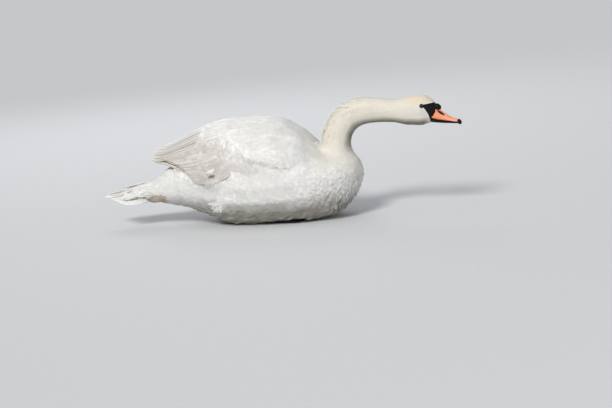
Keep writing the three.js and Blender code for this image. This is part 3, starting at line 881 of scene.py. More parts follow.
SIDE_GUIDES = [  # place and direction on the left side, and length; mirrored for the right
    ((455, 33, 300), (-1, 0, -0.3), 5), ((420, 36, 300), (-1, 0, -0.05), 7), ((340, 35, 312), (-1, 0, 0), 12),
    ((276, 38, 314), (-1, 0, -0.12), 13), ((225, 39, 300), (-0.7, 0, -0.7), 14),
    ((195, 41, 255), (-0.25, 0, -1), 15), ((180, 60, 205), (-0.3, 0.3, -1), 17),
    ((238, 60, 150), (-0.5, 0.5, -0.8), 18), ((190, 112, 130), (-1, 0.5, -0.5), 22),
    ((220, 70, 70), (-0.9, 0.2, -0.6), 18), ((100, 150, 110), (-1, 0.1, -0.15), 28),
    ((0, 165, 110), (-1, 0, 0), 32), ((0, 110, 30), (-1, 0, 0.05), 26), ((-200, 125, 100), (-1, 0, 0.05), 32),
    ((80, 80, 245), (-1, 0.1, 0.25), 30), ((0, 120, 245), (-1, 0, -0.15), 42),
    ((60, 150, 190), (-1, 0, -0.1), 30), ((-120, 150, 210), (-1, 0, -0.3), 46),
    ((-200, 100, 240), (-1, 0, -0.25), 55), ((-340, 50, 210), (-1, 0, -0.3), 50),
    ((-330, 60, 110), (-1, 0, 0), 32),
]
guides = [((x, 0, z), (dx, 0, dz), length) for (x, z), (dx, dz), length in CENTRE_GUIDES]
for place, direction, length in SIDE_GUIDES:
    for sign in SIDES.values():
        guides.append(tuple(np.array(v) * (1, sign, 1) for v in (place, direction)) + (length,))
GUIDE_PLACES = np.array([place for place, _, _ in guides]) * MM
GUIDE_DIRECTIONS = unit(np.array([direction for _, direction, _ in guides], dtype=float))
GUIDE_LENGTHS = np.array([length for _, _, length in guides]) * MM
GUIDE_CORE = 1e-5  # in square metres: within about 3 mm of a guide, its weight grows no further


def nearness(places):
    """Weight of each guide at each place."""
    apart = ((places[:, None] - GUIDE_PLACES) ** 2).sum(-1) + GUIDE_CORE
    return 1 / apart**2


def lie(places, normals):
    """The direction in which a feather at each place points, along the skin."""
    mean = unit(nearness(places) @ GUIDE_DIRECTIONS)
    return unit(mean - (mean * normals).sum(-1, keepdims=True) * normals)


def feather_length(places):
    weight = nearness(places)
    return weight @ GUIDE_LENGTHS / weight.sum(1)


LENGTH_AT = feather_length(surface.centres)
print(len(guides), "guides, feathers from", LENGTH_AT.min().round(4), "to", LENGTH_AT.max().round(4), "m")

# %% [markdown]
# ## Growing feathers
# A feather is a thin closed blade. Its middle line is walked over the skin along the lie of the
# coat, and its two edges are dropped onto the skin as well, so that it wraps the body. It rises
# from root to tip, which lets it lie over the ones behind it, and it is a little higher along its
# shaft. At the edge of the body a feather may be free to leave the skin, and then it goes on
# straight instead of bending round. Particle hair would be quicker, but it has no solid vanes.

# %% Cuts of feathers
CUTS = {  # for each row of a cut, the place along the feather and the share of its half width there
    "tuft": [(0.3, 0.9), (0.75, 0.75)],
    "small": [(0.2, 0.7), (0.55, 1.0), (0.85, 0.72)],
    "contour": [(0.12, 0.5), (0.35, 0.88), (0.62, 1.0), (0.84, 0.78), (0.96, 0.4)],
    "flight": [
        (0.04, 0.35), (0.12, 0.62), (0.25, 0.85), (0.4, 0.96), (0.55, 1.0), (0.7, 0.98),
        (0.82, 0.88), (0.9, 0.72), (0.96, 0.46), (0.99, 0.22),
    ],
}
print("cuts:", {name: len(rows) for name, rows in CUTS.items()})


# %% Middle lines over the skin
SHARPEST_TURN = 0.9  # cosine of the sharpest turn that a feather free to leave the skin still follows
WIDEST_SWERVE = 0.8  # largest share of a step that goes sideways, and of its square


def along_rows(cut):
    """Places along a feather from 0 to 1: its root, each row of its cut, and its tip."""
    return np.array([0, *[row[0] for row in CUTS[cut]], 1])


def lay(points, ups, free):
    """Points dropped onto the skin, but left where they are if they are further than free from it."""
    places, normals, _ = surface.drop(points)
    off = np.linalg.norm(places - points, axis=-1, keepdims=True) > free
    if np.isfinite(free):
        off |= (normals * ups).sum(-1, keepdims=True) < SHARPEST_TURN
    return np.where(off, points, places), np.where(off, ups, normals)


def walk(roots, normals, lengths, cut, swerve, free):
    """Middle lines over the skin: places and normals at the root, at each row and at the tip."""
    side_step = np.clip(swerve, -WIDEST_SWERVE, WIDEST_SWERVE)[:, None]
    ahead_step = np.sqrt(1 - np.minimum(side_step**2, WIDEST_SWERVE))
    places, ups = [roots], [normals]
    for step in np.diff(along_rows(cut)):
        ahead = lie(places[-1], ups[-1])
        ahead = ahead * ahead_step + np.cross(ups[-1], ahead) * side_step
        place, up = lay(places[-1] + ahead * (step * lengths)[:, None], ups[-1], free)
        places.append(place)
        ups.append(up)
    return np.stack(places, 1), np.stack(ups, 1)


print("free feathers leave the skin past a turn of", round(math.degrees(math.acos(SHARPEST_TURN))), "degrees")


# %% Faces and borders of a blade
def blade_faces(rings):
    """Corner numbers of one closed blade: a root, three points a ring, and a tip."""
    tip = rings * 3 + 1
    ring = [(1 + 3 * i, 2 + 3 * i, 3 + 3 * i) for i in range(rings)]
    a, b, c = ring[0]
    faces = [(0, a, b), (0, b, c), (0, c, a)]
    for (a, b, c), (d, e, f) in zip(ring, ring[1:]):
        faces += [(a, d, e, b), (b, e, f, c), (c, f, d, a)]
    a, b, c = ring[-1]
    return faces + [(b, a, tip), (c, b, tip), (a, c, tip)]


def keep_borders_crisp(mesh, per):
    """Mark the two borders of every blade sharp, so that shading doesn't roll over them."""
    ends = np.empty(len(mesh.edges) * 2, int)
    mesh.edges.foreach_get("vertices", ends)
    number = ends.reshape(-1, 2) % per
    column = number % 3  # 1 and 0 are borders, 2 is the crest
    tip = per - 1
    apart = np.abs(number[:, 0] - number[:, 1])
    left = ((number == 0) | (column == 1) | (number == tip)).all(1)
    right = ((number == 0) | (column == 0) | (number == tip)).all(1)
    border = left | right | ((number == tip).any(1) & (apart <= 3) & (column != 2).any(1))
    sharp = mesh.attributes.new("sharp_edge", "BOOLEAN", "EDGE")
    sharp.data.foreach_set("value", border)


print("a contour feather has", len(blade_faces(len(CUTS["contour"]))), "faces")


# %% Meshes of many blades
def blade_mesh(name, verts, rings, layers, tints):
    """One mesh of many equal blades, with its maps and its colour per vertex."""
    count, per = verts.shape[:2]
    faces = blade_faces(rings)
    loops = (np.arange(count)[:, None] * per + np.concatenate(faces)).ravel()
    totals = np.tile([len(face) for face in faces], count)
    mesh = bpy.data.meshes.new(name)
    mesh.vertices.add(count * per)
    mesh.vertices.foreach_set("co", verts.ravel())
    mesh.loops.add(len(loops))
    mesh.loops.foreach_set("vertex_index", loops)
    mesh.polygons.add(len(totals))
    mesh.polygons.foreach_set("loop_start", np.cumsum(totals) - totals)
    mesh.polygons.foreach_set("loop_total", totals)
    mesh.update(calc_edges=True)
    keep_borders_crisp(mesh, per)
    for layer, values in layers.items():
        mesh.uv_layers.new(name=layer).data.foreach_set("uv", values.reshape(-1, 2)[loops].ravel())
    tint_points(mesh, tints.reshape(-1, 3))
    mesh.shade_smooth()
    piece = bpy.data.objects.new(name, mesh)
    bpy.context.collection.objects.link(piece)
    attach(piece, "root")
    print(f"{name}: {count} feathers, {int((totals - 2).sum())} triangles")


# %% Blades from their middle lines
PATCH = 0.003  # width of a feather's square on the unwrap
SINK = 0.0006  # depth of a root under the skin
VANE_DROOP = 3.0  # how sharply a stiff vane curls to both sides of its shaft, per metre
THINNEST = 0.0001  # height of the crest of the narrowest feather
RISE_CURVE = 1.2  # above 1, a feather rises more towards its tip
# painted shade: each feather is darker towards its root, where it lies under the ones before it
ROOT_SHADE = 0.9  # brightness of the root against the tip
FLOOR_CLEARANCE = 0.0004


def blades(
    name, cut, middle, ups, widths, rise, uv, tints, draw, fray=0.1, wrap=True, shaft=0.05, lean=0.0,
    droop=VANE_DROOP, free=np.inf,
):
    """Blades along middle lines, each as wide and with its tip as far off the skin as given.

    Fray is how uneven the edges are, shaft how high the crest is against the width, lean tilts a
    stiff vane and droop curls it. There is one tint for each blade, or one for each of its rows.
    """
    rows = np.array(CUTS[cut])
    count, rings = len(middle), len(rows)
    along = along_rows(cut)
    row_of_vertex = np.repeat(np.arange(rings + 2), [1, *[3] * rings, 1])
    heading = unit(np.gradient(middle, axis=1))
    across = unit(np.cross(ups, heading))[:, 1:-1]
    height = (rise[:, None] * along**RISE_CURVE)[..., None]
    half = widths[:, None] / 2 * rows[:, 1]
    centre, centre_ups = middle[:, 1:-1], ups[:, 1:-1]
    edges = []
    for sign in (1, -1):
        reach = sign * half * (1 + fray * draw.standard_normal((count, rings)))
        slip = half * fray * draw.standard_normal((count, rings))
        edge = centre + across * reach[..., None] + heading[:, 1:-1] * slip[..., None]
        edge_ups = centre_ups
        if wrap:
            edge, edge_ups = lay(edge, edge_ups, free)
        else:
            edge = edge + edge_ups * (sign * lean * half - droop * half**2)[..., None]
        edges.append(edge + edge_ups * height[:, 1:-1])
    thickness = half[..., None] * shaft + THINNEST
    crest = centre + centre_ups * (height[:, 1:-1] + thickness)
    columns = np.stack([edges[0], crest, edges[1]], axis=2).reshape(count, rings * 3, 3)
    root = middle[:, :1] - ups[:, :1] * SINK
    tip = middle[:, -1:] + ups[:, -1:] * height[:, -1:]
    verts = np.concatenate([root, columns, tip], axis=1)
    verts[..., 2] = np.maximum(verts[..., 2], FLOOR_CLEARANCE)
    column = np.array([0, *[-1, 0, 1] * rings, 0])
    half_of_vertex = np.pad(half, ((0, 0), (1, 1)))[:, row_of_vertex]
    lengths = np.linalg.norm(np.diff(middle, axis=1), axis=2).sum(1)
    vane = np.stack([half_of_vertex * column, lengths[:, None] * along[row_of_vertex]], 2)
    square = np.stack([column / 2, along[row_of_vertex] - 0.5], 1)
    bake = uv[:, None] + square * PATCH
    tints = tints[:, row_of_vertex] if tints.ndim == 3 else tints[:, None]
    # painted shade: the tint darkens from tip to root
    shade = tints * (ROOT_SHADE + (1 - ROOT_SHADE) * along[row_of_vertex] ** 0.5)[None, :, None]
    blade_mesh(name, verts, rings, {"OFBake": bake, "vane": vane}, shade)


print("roots lie", SINK / MM, "mm under the skin")

# %% Cover a part of the skin
UNLIKE = (0.85, 1.15)  # range of the lengths and widths of neighbours
RUFFLED = (0.08, 0.42)  # how far a ruffled feather stands off, against its length


def grow(
    name, cut, allowed, seed, slim, spread, lift, size=1.0, ruffle=None, stand=None, wayward=0.12,
    shaft=0.05, uneven=0.4, free=np.inf,
):
    """Cover the allowed triangles with feathers as long as the guides say, times size.

    Slim is the width, spread the gap between roots and lift the rise of a tip, all against the
    length. Ruffle says how loose the coat is at each place, and stand how much higher it is.
    """
    draw = np.random.default_rng(seed)
    roots, normals, uv = surface.scatter(LENGTH_AT * size * spread, allowed, draw)
    count = len(roots)
    loose = ruffle(roots) if ruffle else np.zeros(count)
    lengths = feather_length(roots) * size * draw.uniform(*UNLIKE, count)
    swerve = draw.normal(0, wayward, count) * (1 + 2 * loose)
    middle, ups = walk(roots, normals, lengths, cut, swerve, free)
    widths = lengths * slim * draw.uniform(*UNLIKE, count)
    lifts = lift * draw.uniform(1 - uneven, 1 + uneven, count)
    rise = lengths * (lifts + loose * draw.uniform(*RUFFLED, count))
    rise = rise + (stand(roots) if stand else 0)
    tints = markings(middle[:, middle.shape[1] // 2]) * draw.uniform(0.96, 1.03, (count, 1))
    blades(name, cut, middle, ups, widths, rise, uv, tints, draw, shaft=shaft, free=free)


print("feathers from", UNLIKE[0], "to", UNLIKE[1], "times their guides' length")

# %% [markdown]
# ## The contour feathers
# The coat is laid in pieces. Feathers on the head are like velvet and hardly a few millimetres long.
# On the neck they are small fuzzy tufts, on breast and belly short rounded feathers, and over the
# back and wings broad and smooth. The lower breast is ruffled, and so is the back of the neck. The
# last feathers beside the tail are free to leave the skin, so that they run on over the fan.


# %% Ruffles
CLUMP = 0.0026  # size of a clump of ruffled feathers, in metres


def ruffled_neck(places):
    """Loose along the back of the neck, most where it bends down."""
    x, _, z = places.T / MM
    bend = ramp(x, 210, 140) * ramp(z, 222, 262) * 0.9
    nape = ramp(x, 330, 230) * ramp(z, 300, 330) * 0.6
    return (bend + nape) * (0.2 + 2.8 * patchy(places, CLUMP) ** 2)


def ruffled_breast(places):
    x, _, z = places.T / MM
    return ramp(z, 200, 110) * ramp(z, -20, 60) * ramp(x, 95, 190) * (0.1 + 1.45 * patchy(places, CLUMP) ** 2)


def ruffled_belly(places):
    _, _, z = places.T / MM
    return ramp(z, 70, 15) * (0.15 + 1.0 * patchy(places, 0.004) ** 2)


print("loosest neck", round(ruffled_neck(surface.centres).max(), 2))


# %% Where each piece of the coat may grow
def on(part):
    return (part_of == PART_NUMBER[part]).astype(float)


GAZE = unit(np.array([0.25, 0.95, 0.17]))  # outward through the left eye
BARE_ROUND_EYE = 0.0058
OVERLAP_X, OVERLAP_Z = 0.0012, 0.0006  # the feathers start this far inside the edge of the black
x, y, z = surface.centres.T
feathered = (lores(x - OVERLAP_X, z - OVERLAP_Z) < 0) | (x < FACE_X)
mirror = np.stack([x, abs(y), z], 1) - np.array(EYE["left"])
from_gaze = np.linalg.norm(mirror - (mirror @ GAZE)[:, None] * GAZE, axis=1)
feathered &= (from_gaze > BARE_ROUND_EYE) | (mirror @ GAZE < 0)

BREAST_EDGE_X, BREAST_PATCHES = 0.09, 0.06  # rear edge of the breast, and how uneven it is
front = x > BREAST_EDGE_X + BREAST_PATCHES * patchy(surface.centres, 0.009)
ROOTS_END_X = -0.452  # nearer to the stump no feather is rooted
STUMP_FACING = -0.4  # and none where the skin turns this far to the rear
beside_fan = (x > ROOTS_END_X) & (surface.normals.mean(1)[:, 0] > STUMP_FACING)
print("bare face:", int((on("head") * ~feathered).sum()), "triangles without feathers")

# %% Where the coverts end over the flight feathers
AXIS_Z = 0.165  # height of the body's long axis
FLIGHT_ROOT_ANGLES = (-20, -2, 18, 38, 62, 84)  # round the long axis, 0 is level and 90 straight up
FLIGHT_ROOT_X = (-108, -108, -120, -130, -120, -105)  # in millimetres
LAP = 0.045  # how far the coverts reach over the roots of the flight feathers
LAST_COVERTS_RISE = 0.0018


def behind_flight_roots(places):
    """How far each place is behind the row where the flight feathers are rooted."""
    x, y, z = places.T
    angle = np.degrees(np.arctan2(z - AXIS_Z, abs(y)))
    return np.interp(angle, FLIGHT_ROOT_ANGLES, FLIGHT_ROOT_X) * MM - x


def lapping(places):
    """The last coverts stand higher, to lie over the flight feathers."""
    return ramp(behind_flight_roots(places), -0.03, LAP) * ramp(places[:, 2], 0.165, 0.19) * LAST_COVERTS_RISE


covert = behind_flight_roots(surface.centres) < LAP * (0.4 + 1.1 * patchy(surface.centres, 0.008))
print("coverts on", int((on("wing_left") * covert).sum()), "triangles of the left wing")

# %% Lay the coat
grow("coat_head", "tuft", on("head") * feathered, 11, size=0.9, spread=0.2, lift=0.05, slim=0.36)
grow("coat_neck", "tuft", on("neck"), 12, size=1.15, spread=0.135, lift=0.06, slim=0.24, ruffle=ruffled_neck)
grow(
    "coat_breast", "small", on("trunk") * front, 13, spread=0.18, lift=0.06, slim=0.55,
    ruffle=ruffled_breast, shaft=0.03, uneven=0.2,
)
grow(
    "coat_body", "contour", on("trunk") * ~front, 14, spread=0.19, lift=0.045, slim=0.66,
    ruffle=ruffled_belly, shaft=0.014, wayward=0.09, uneven=0.08,
)
grow(
    "coat_tail", "contour", on("tail") * beside_fan, 15, size=1.2, spread=0.16, lift=0.05, slim=0.5,
    shaft=0.014, uneven=0.1, free=0.004,
)
for seed, side in enumerate(SIDES, start=16):
    grow(
        f"coat_wing_{side}", "contour", on(f"wing_{side}") * covert, seed, spread=0.18, lift=0.034, slim=0.7,
        stand=lapping, shaft=0.012, wayward=0.06, uneven=0.06,
    )

# %% [markdown]
# ## Feathers laid one by one
# The long feathers of the folded wing are laid one by one, each between a given root and tip. The
# shield of scapulars ends in a lip along the middle of the side. Below and behind it the tertials and
# secondaries slide together like the sticks of a fan, and the primaries show as a pale band under
# them.


# %% Draped feathers
def on_side(points, sign):
    """Places given for the left side in millimetres, put on either side in metres."""
    return np.array(points, dtype=float) * (1, sign, 1) * MM


def along_line(knots, count):
    """Points spread evenly by number along a row of knots."""
    knots = np.array(knots, dtype=float)
    at = np.linspace(0, len(knots) - 1, count)
    return np.stack([np.interp(at, range(len(knots)), column) for column in knots.T], 1)


def draped(name, cut, roots, tips, width, rise, draw, colour=None, **options):
    """Blades between given roots and tips, every row of them dropped onto the skin."""
    along = along_rows(cut)[:, None]
    straight = roots[:, None] * (1 - along) + tips[:, None] * along
    middle, ups, uv = surface.drop(straight)
    count = len(roots)
    uv = uv.reshape(count, -1, 2)[:, 0]
    tints = (markings(tips) if colour is None else np.array(colour)) * draw.uniform(0.95, 1.02, (count, 1))
    widths = width * draw.uniform(0.92, 1.08, count)
    rises = rise * draw.uniform(*UNLIKE, count)
    blades(name, cut, middle, ups, widths, rises, uv, tints, draw, **options)


print("halfway along the lip:", along_line(LIP, 3)[1].round())

# %% Lip of the scapular shield
LIP_START, LIP_END = 3, -1  # the knots of the lip that bear long feathers
LIP_DEPTHS = (-134, -147, -153, -155, -155, -154, -150, -146, -140)  # y at those knots, on the right side
LIP_COUNT = 24
LIP_ROWS = ((0, 0, 3.6), (13, 8, 2.2))  # how far up and back each row is, and its rise
LIP_SHIFT = (-3, 0, -2)  # the tips reach past the step in the skin
LIP_FEATHER = (56, 6, 24)  # from tip to root
LIP_WIDTH = 0.038
LIP_SCATTER = 1.5
line = [(x, y, z) for (x, z), y in zip(LIP[LIP_START:LIP_END], LIP_DEPTHS)]
for seed, (side, sign) in enumerate(SIDES.items(), start=30):
    draw = np.random.default_rng(seed)
    roots, tips, rises = [], [], []
    for above, back, lift in LIP_ROWS:
        ends = along_line(line, LIP_COUNT) + (LIP_SHIFT[0] - back * 0.3, 0, above + LIP_SHIFT[2])
        ends += draw.normal(0, LIP_SCATTER, ends.shape)
        roots.append(ends + LIP_FEATHER)
        tips.append(ends)
        rises.append(lift * MM * (0.3 + 0.7 * np.sin(np.linspace(0.15, 2.8, LIP_COUNT))))
    roots, tips = (on_side(np.concatenate(ends), -sign) for ends in (roots, tips))
    draped(
        f"coat_scapulars_{side}", "contour", roots, tips, LIP_WIDTH, np.concatenate(rises), draw,
        colour=WHITE, shaft=0.012,
    )


# %% Middle lines of the flight feathers
OUTSIDE = 0.5
WING_END_X = -0.348
LARGEST_STEP = 0.007  # a ray that falls further in than this has left the wing
PATH_STEPS = 40
SLOPE_STEPS = 4  # the wing's last steps, whose slope the feather keeps beyond it
CLEARANCE = 0.6  # share of the highest bump of the wing that a feather is lifted over
ROOT_DEPTH = 0.006


def radial(x, angle, sign):
    """Outward directions round the body's long axis, and places on it; 0 degrees is level."""
    zero = np.zeros_like(angle)
    return np.stack([zero, sign * np.cos(angle), np.sin(angle)], -1), np.stack([x, zero, zero + AXIS_Z], -1)


def wing_path(sign, root, tip, along, lift):
    """A smooth middle line over the wing, carried on past its edge where it leaves it."""
    def line(share):
        x = (root[0] + (tip[0] - root[0]) * share) * MM
        return radial(x, np.radians(root[1] + (tip[1] - root[1]) * share**1.15), sign)

    steps = np.linspace(0, 1, PATH_STEPS)
    radii, normals = [], []
    for direction, point in zip(*line(steps)):
        hit, _, index, _ = surface.tree.ray_cast(Vector(point + direction * OUTSIDE), Vector(-direction))
        if hit is None or hit.x < WING_END_X:
            break
        radius = np.linalg.norm(np.array(hit) - point)
        if radii and abs(radius - radii[-1]) > LARGEST_STEP:
            break
        radii.append(radius)
        normals.append(surface.normals[index].mean(0))
    slope = (radii[-1] - radii[-1 - SLOPE_STEPS]) / SLOPE_STEPS
    beyond = np.arange(1, PATH_STEPS - len(radii) + 1)
    fit = np.polyfit(steps, np.append(radii, radii[-1] + slope * beyond), 4)
    clear = max(0, (radii - np.polyval(fit, steps[: len(radii)])).max()) * CLEARANCE
    height = clear + lift * along**0.5 - ROOT_DEPTH * np.maximum(1 - along * 4, 0)
    out, centre = line(along)
    middle = centre + out * (np.polyval(fit, along) + height)[:, None]
    heading = unit(np.gradient(middle, axis=0))
    up = unit(np.mean(normals, axis=0))
    return middle, unit(up - (heading @ up)[:, None] * heading)


print("flight feathers leave the wing behind x", WING_END_X)

# %% Secondaries and tertials
LEAN = 0.018  # tilt of each vane, so that its lower edge lies over the next feather
WING_FEATHERS = {  # knots of root x and angle, then of tip x and angle; number, width, lifts, droop
    "secondaries": (
        [(-98, 8), (-108, 22), (-126, 40)],
        [(-200, -4), (-232, -6), (-252, 2), (-285, 20), (-335, 39), (-374, 50)],
        14, 46, (1.6, 2.6), 3.6,
    ),
    "tertials": (
        [(-118, 42), (-108, 62), (-95, 86)],
        [(-380, 51), (-381, 59), (-374, 70), (-354, 86)],
        9, 48, (2.6, 3.2), 4.2,
    ),
}
along = along_rows("flight")
for seed, (side, sign) in enumerate(SIDES.items(), start=40):
    draw = np.random.default_rng(seed)
    for group, (root_knots, tip_knots, number, width, lift, droop) in WING_FEATHERS.items():
        roots, tips = along_line(root_knots, number), along_line(tip_knots, number)
        tips += draw.normal(0, 1, tips.shape) * (2.5, 0.4)
        lifts = np.linspace(*lift, number) * MM
        paths = [wing_path(sign, root, tip, along, lift) for root, tip, lift in zip(roots, tips, lifts)]
        middle, ups = (np.array(part) for part in zip(*paths))
        uv = surface.drop(middle[:, 0])[2]
        tints = markings(middle.reshape(-1, 3)).reshape(middle.shape)
        tints = tints * draw.uniform(0.98, 1.02, (number, 1, 1))
        widths = width * MM * draw.uniform(0.95, 1.05, number)
        blades(
            f"coat_{group}_{side}", "flight", middle, ups, widths, np.zeros(number), uv, tints, draw,
            fray=0.006, wrap=False, shaft=0.007, lean=-sign * LEAN, droop=droop,
        )

# %% Primaries
# painted shadow: dark brown for a thin blade that stands in the shadowed gap between primaries and
# secondaries
SHADOW_GAP_BROWN = (0.16, 0.095, 0.045)
PRIMARY_LINE = [  # lower edge of the folded wing on the left side, x, y and z in millimetres
    (-262, 104, 174), (-282, 93, 184), (-299, 83, 192), (-315, 72, 198), (-332, 62, 202), (-351, 50, 204),
    (-372, 36, 203), (-384, 28, 203),
]
PRIMARY_OUTWARD = (-0.25, 0.85, -0.3)  # the way that the folded primaries face
# the third blade, thin and brown, is painted shadow in the gap above the primaries
PRIMARY_BLADES = [  # shift outward and up, share of the line used, width, colour
    (-0.5, -5.0, 0.98, 11, CREAM_VANE), (-2.5, -7.0, 0.92, 11, CREAM_VANE), (2.0, 0.0, 1.0, 4, SHADOW_GAP_BROWN),
]
line = np.array(PRIMARY_LINE, dtype=float)
run = np.linspace(0, 1, len(line))
curves = [np.polyfit(run, column, 3) for column in line.T]
for seed, (side, sign) in enumerate(SIDES.items(), start=60):
    draw = np.random.default_rng(seed)
    middles = []
    for outward, upward, share, _, _ in PRIMARY_BLADES:
        path = np.stack([np.polyval(curve, along * share) for curve in curves], 1) + (0, outward, upward)
        middles.append(on_side(path, sign))
    middle = np.array(middles)
    outward = unit(np.array(PRIMARY_OUTWARD) * (1, sign, 1))
    heading = unit(np.gradient(middle, axis=1))
    ups = unit(outward - (heading @ outward)[..., None] * heading)
    uv = surface.drop(middle[:, 0])[2]
    widths = np.array([blade[3] for blade in PRIMARY_BLADES]) * MM
    tints = np.array([blade[4] for blade in PRIMARY_BLADES])
    blades(
        f"coat_primaries_{side}", "flight", middle, ups, widths, np.zeros(len(middle)), uv, tints, draw,
        fray=0.005, wrap=False, shaft=0.02,
    )

# %% [markdown]
# ## The tail
# The tail is a fan of stiff feathers, highest and longest in the middle, like a low roof. Their roots
# are covered by softer coverts, three rows above and three below. Each row is laid by the same
# function, from one share of the fan's length to another.

# %% Shape of the tail fan
CUTS["rectrix"] = [
    (0.04, 0.35), (0.12, 0.6), (0.3, 0.85), (0.5, 1.0), (0.68, 1.0), (0.8, 0.92), (0.88, 0.74),
    (0.95, 0.45), (0.985, 0.2),
]
TAIL_ROOT = (-345, 137)  # x and z in millimetres
FAN_ANGLE = 25
FAN_LENGTHS = ([0, 0.2, 0.4, 1], [218, 213, 184, 150])  # by how far out in the fan
FAN_ARCH = 35  # how much lower than the middle one the outermost feather is
FAN_DROP, FAN_DROP_LESS = 37, 14  # how far the middle tip falls, and how much less the outermost
FAN_ROOF, ROOF_CURVE = 0.5, 0.35  # slope of the roof in radians, and how soon it is steep
RIDGE = 1.5
COVERT_END, COVERT_CLOSING = 0.6, 1.5  # past this share of the fan the coverts close on it
COVERTS_OUT = {"above": 0.8, "below": 0.5}  # how much closer to the fan the outermost coverts lie
print("fan", 2 * FAN_ANGLE, "degrees wide and", max(FAN_LENGTHS[1]), "mm long")


# %% One row of tail feathers
def tail_row(name, cut, seed, number, start, stop, raised, width, roof=FAN_ROOF):
    """A row of feathers along the fan, from one share of its length to another."""
    draw = np.random.default_rng(seed)
    order = np.linspace(-1, 1, number)
    out = np.abs(order)[:, None]
    angle = np.radians(FAN_ANGLE * order)[:, None]
    length = (np.interp(out[:, 0], *FAN_LENGTHS) * draw.uniform(0.97, 1.0, number))[:, None]
    share = start + (stop - start) * along_rows(cut)[None, :]
    forward = share * length
    fall = FAN_ARCH * out**0.8 + (FAN_DROP - FAN_DROP_LESS * out) * share
    closing = 1 - COVERT_CLOSING * np.maximum(share - COVERT_END, 0)
    shift = raised * closing * (1 - out * COVERTS_OUT["below" if raised < 0 else "above"])
    middle = np.stack([
        TAIL_ROOT[0] - forward * np.cos(angle),
        forward * np.sin(angle),
        TAIL_ROOT[1] - fall + (1 - out) * RIDGE + shift,
    ], 2) * MM
    tilt = np.sign(order) * out[:, 0] ** ROOF_CURVE * roof
    ups = np.broadcast_to(np.stack([0 * order, np.sin(tilt), np.cos(tilt)], 1)[:, None], middle.shape)
    if raised < 0:
        ups = -ups
    uv = surface.drop(middle[:, 0])[2]
    tints = markings(middle[:, middle.shape[1] // 2]) * draw.uniform(0.97, 1.02, (number, 1))
    widths = width * MM * draw.uniform(0.95, 1.05, number)
    blades(
        name, cut, middle, ups, widths, np.zeros(number), uv, tints, draw, fray=0.03, wrap=False, shaft=0.02,
    )


print("roofs slope up to", round(math.degrees(FAN_ROOF)), "degrees on the stiff feathers")

# %% Tail feathers and their coverts
RECTRIX_COUNT, RECTRIX_WIDTH, COVERT_WIDTH = 13, 38, 34
tail_row("coat_rectrices", "rectrix", 50, RECTRIX_COUNT, 0.0, 1.0, 0.0, RECTRIX_WIDTH)
TAIL_COVERTS = [  # start, stop, how far raised, number and roof
    (0.3, 0.93, 2.5, 14, 0.65), (0.2, 0.84, 6.0, 14, 0.7), (0.1, 0.76, 9.5, 12, 0.7),
    (0.2, 0.92, -4.0, 14, 0.5), (0.12, 0.84, -8.0, 13, 0.5), (0.05, 0.76, -12.0, 12, 0.4),
]
for number, (start, stop, raised, count, roof) in enumerate(TAIL_COVERTS, start=1):
    name = f"coat_tail_coverts_{number}"
    tail_row(name, "contour", 50 + number, count, start, stop, raised, COVERT_WIDTH, roof)

# %% [markdown]
# ## Loose tufts
# A few tufts stand out from the smooth coat: under the tail, at the waterline of the flank, over the
# knob of the bill, and where a slit between two layers of the wing shows white down over its shade,
# which is painted by a few dark grey blades.

# %% Loose tufts
# painted shade: dark grey blades stand for the shadow inside the wing's slit
SLIT_SHADOW_GREY = (0.13, 0.125, 0.12)
TUFTS = {  # root, tip, scatter, number, width, rise and colour
    "vent": ((-346, 60, 96), (-404, 46, 84), 7, 40, 12, 9, None),
    "belly": ((-138, 134, 88), (-172, 122, 64), 9, 34, 9, 9, WHITE),
    "brow": ((477, 4, 341), (489, 4, 333), 1.2, 14, 3, 1.2, WHITE),
    "slit_white": ((-152, 150, 190), (-174, 147, 172), 4, 7, 6, 6, WHITE),
    "slit_shadow": ((-152, 152, 174), (-172, 149, 158), 3, 4, 3.5, 5, SLIT_SHADOW_GREY),
}
ROOT_SCATTER, TIP_SCATTER = (1, 1, 0.5), (1.4, 1, 0.6)
for seed, (name, (root, tip, scatter, number, width, rise, colour)) in enumerate(TUFTS.items(), start=70):
    for side, sign in SIDES.items():
        draw = np.random.default_rng(seed * 2 + (sign > 0))
        roots = np.array(root) + draw.normal(0, scatter, (number, 3)) * ROOT_SCATTER
        tips = np.array(tip) + draw.normal(0, scatter, (number, 3)) * TIP_SCATTER
        places = [on_side(points, sign) for points in (roots, tips)]
        draped(f"coat_tuft_{name}_{side}", "small", *places, width * MM, rise * MM, draw, colour=colour)

# %% [markdown]
# ## Bill
# The bill is horn over bone. Smooth copies of its solids take their place: each is rebuilt by a
# fine voxel remesh and relaxed a little, which rounds the facets but keeps the nostril. The knob is
# a sphere drawn into a low bulb, as a remeshed copy would keep the facets of so small a piece. The
# black of the face runs on over the bill's base, along its cutting edge and into the nostril.


# %% Smooth twins of solids
def smooth_twin(names, title, voxel, rounds):
    """A rounded copy of some solids, which takes their place."""
    twin = joined_copy(names, title)
    apply_modifier(twin, "REMESH", mode="VOXEL", voxel_size=voxel)
    apply_modifier(twin, "SMOOTH", factor=0.5, iterations=rounds)
    twin.data.shade_smooth()
    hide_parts(*names)
    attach(twin, "root")
    print(title, "has", len(twin.data.polygons), "faces")
    return twin


def settle(piece, name):
    """Apply a piece's own placement, so that it stands at the origin unturned."""
    only(piece)
    bpy.ops.object.transform_apply(location=True, rotation=True, scale=True)
    piece.name = name
    piece.data.shade_smooth()
    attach(piece, "root")
    return piece


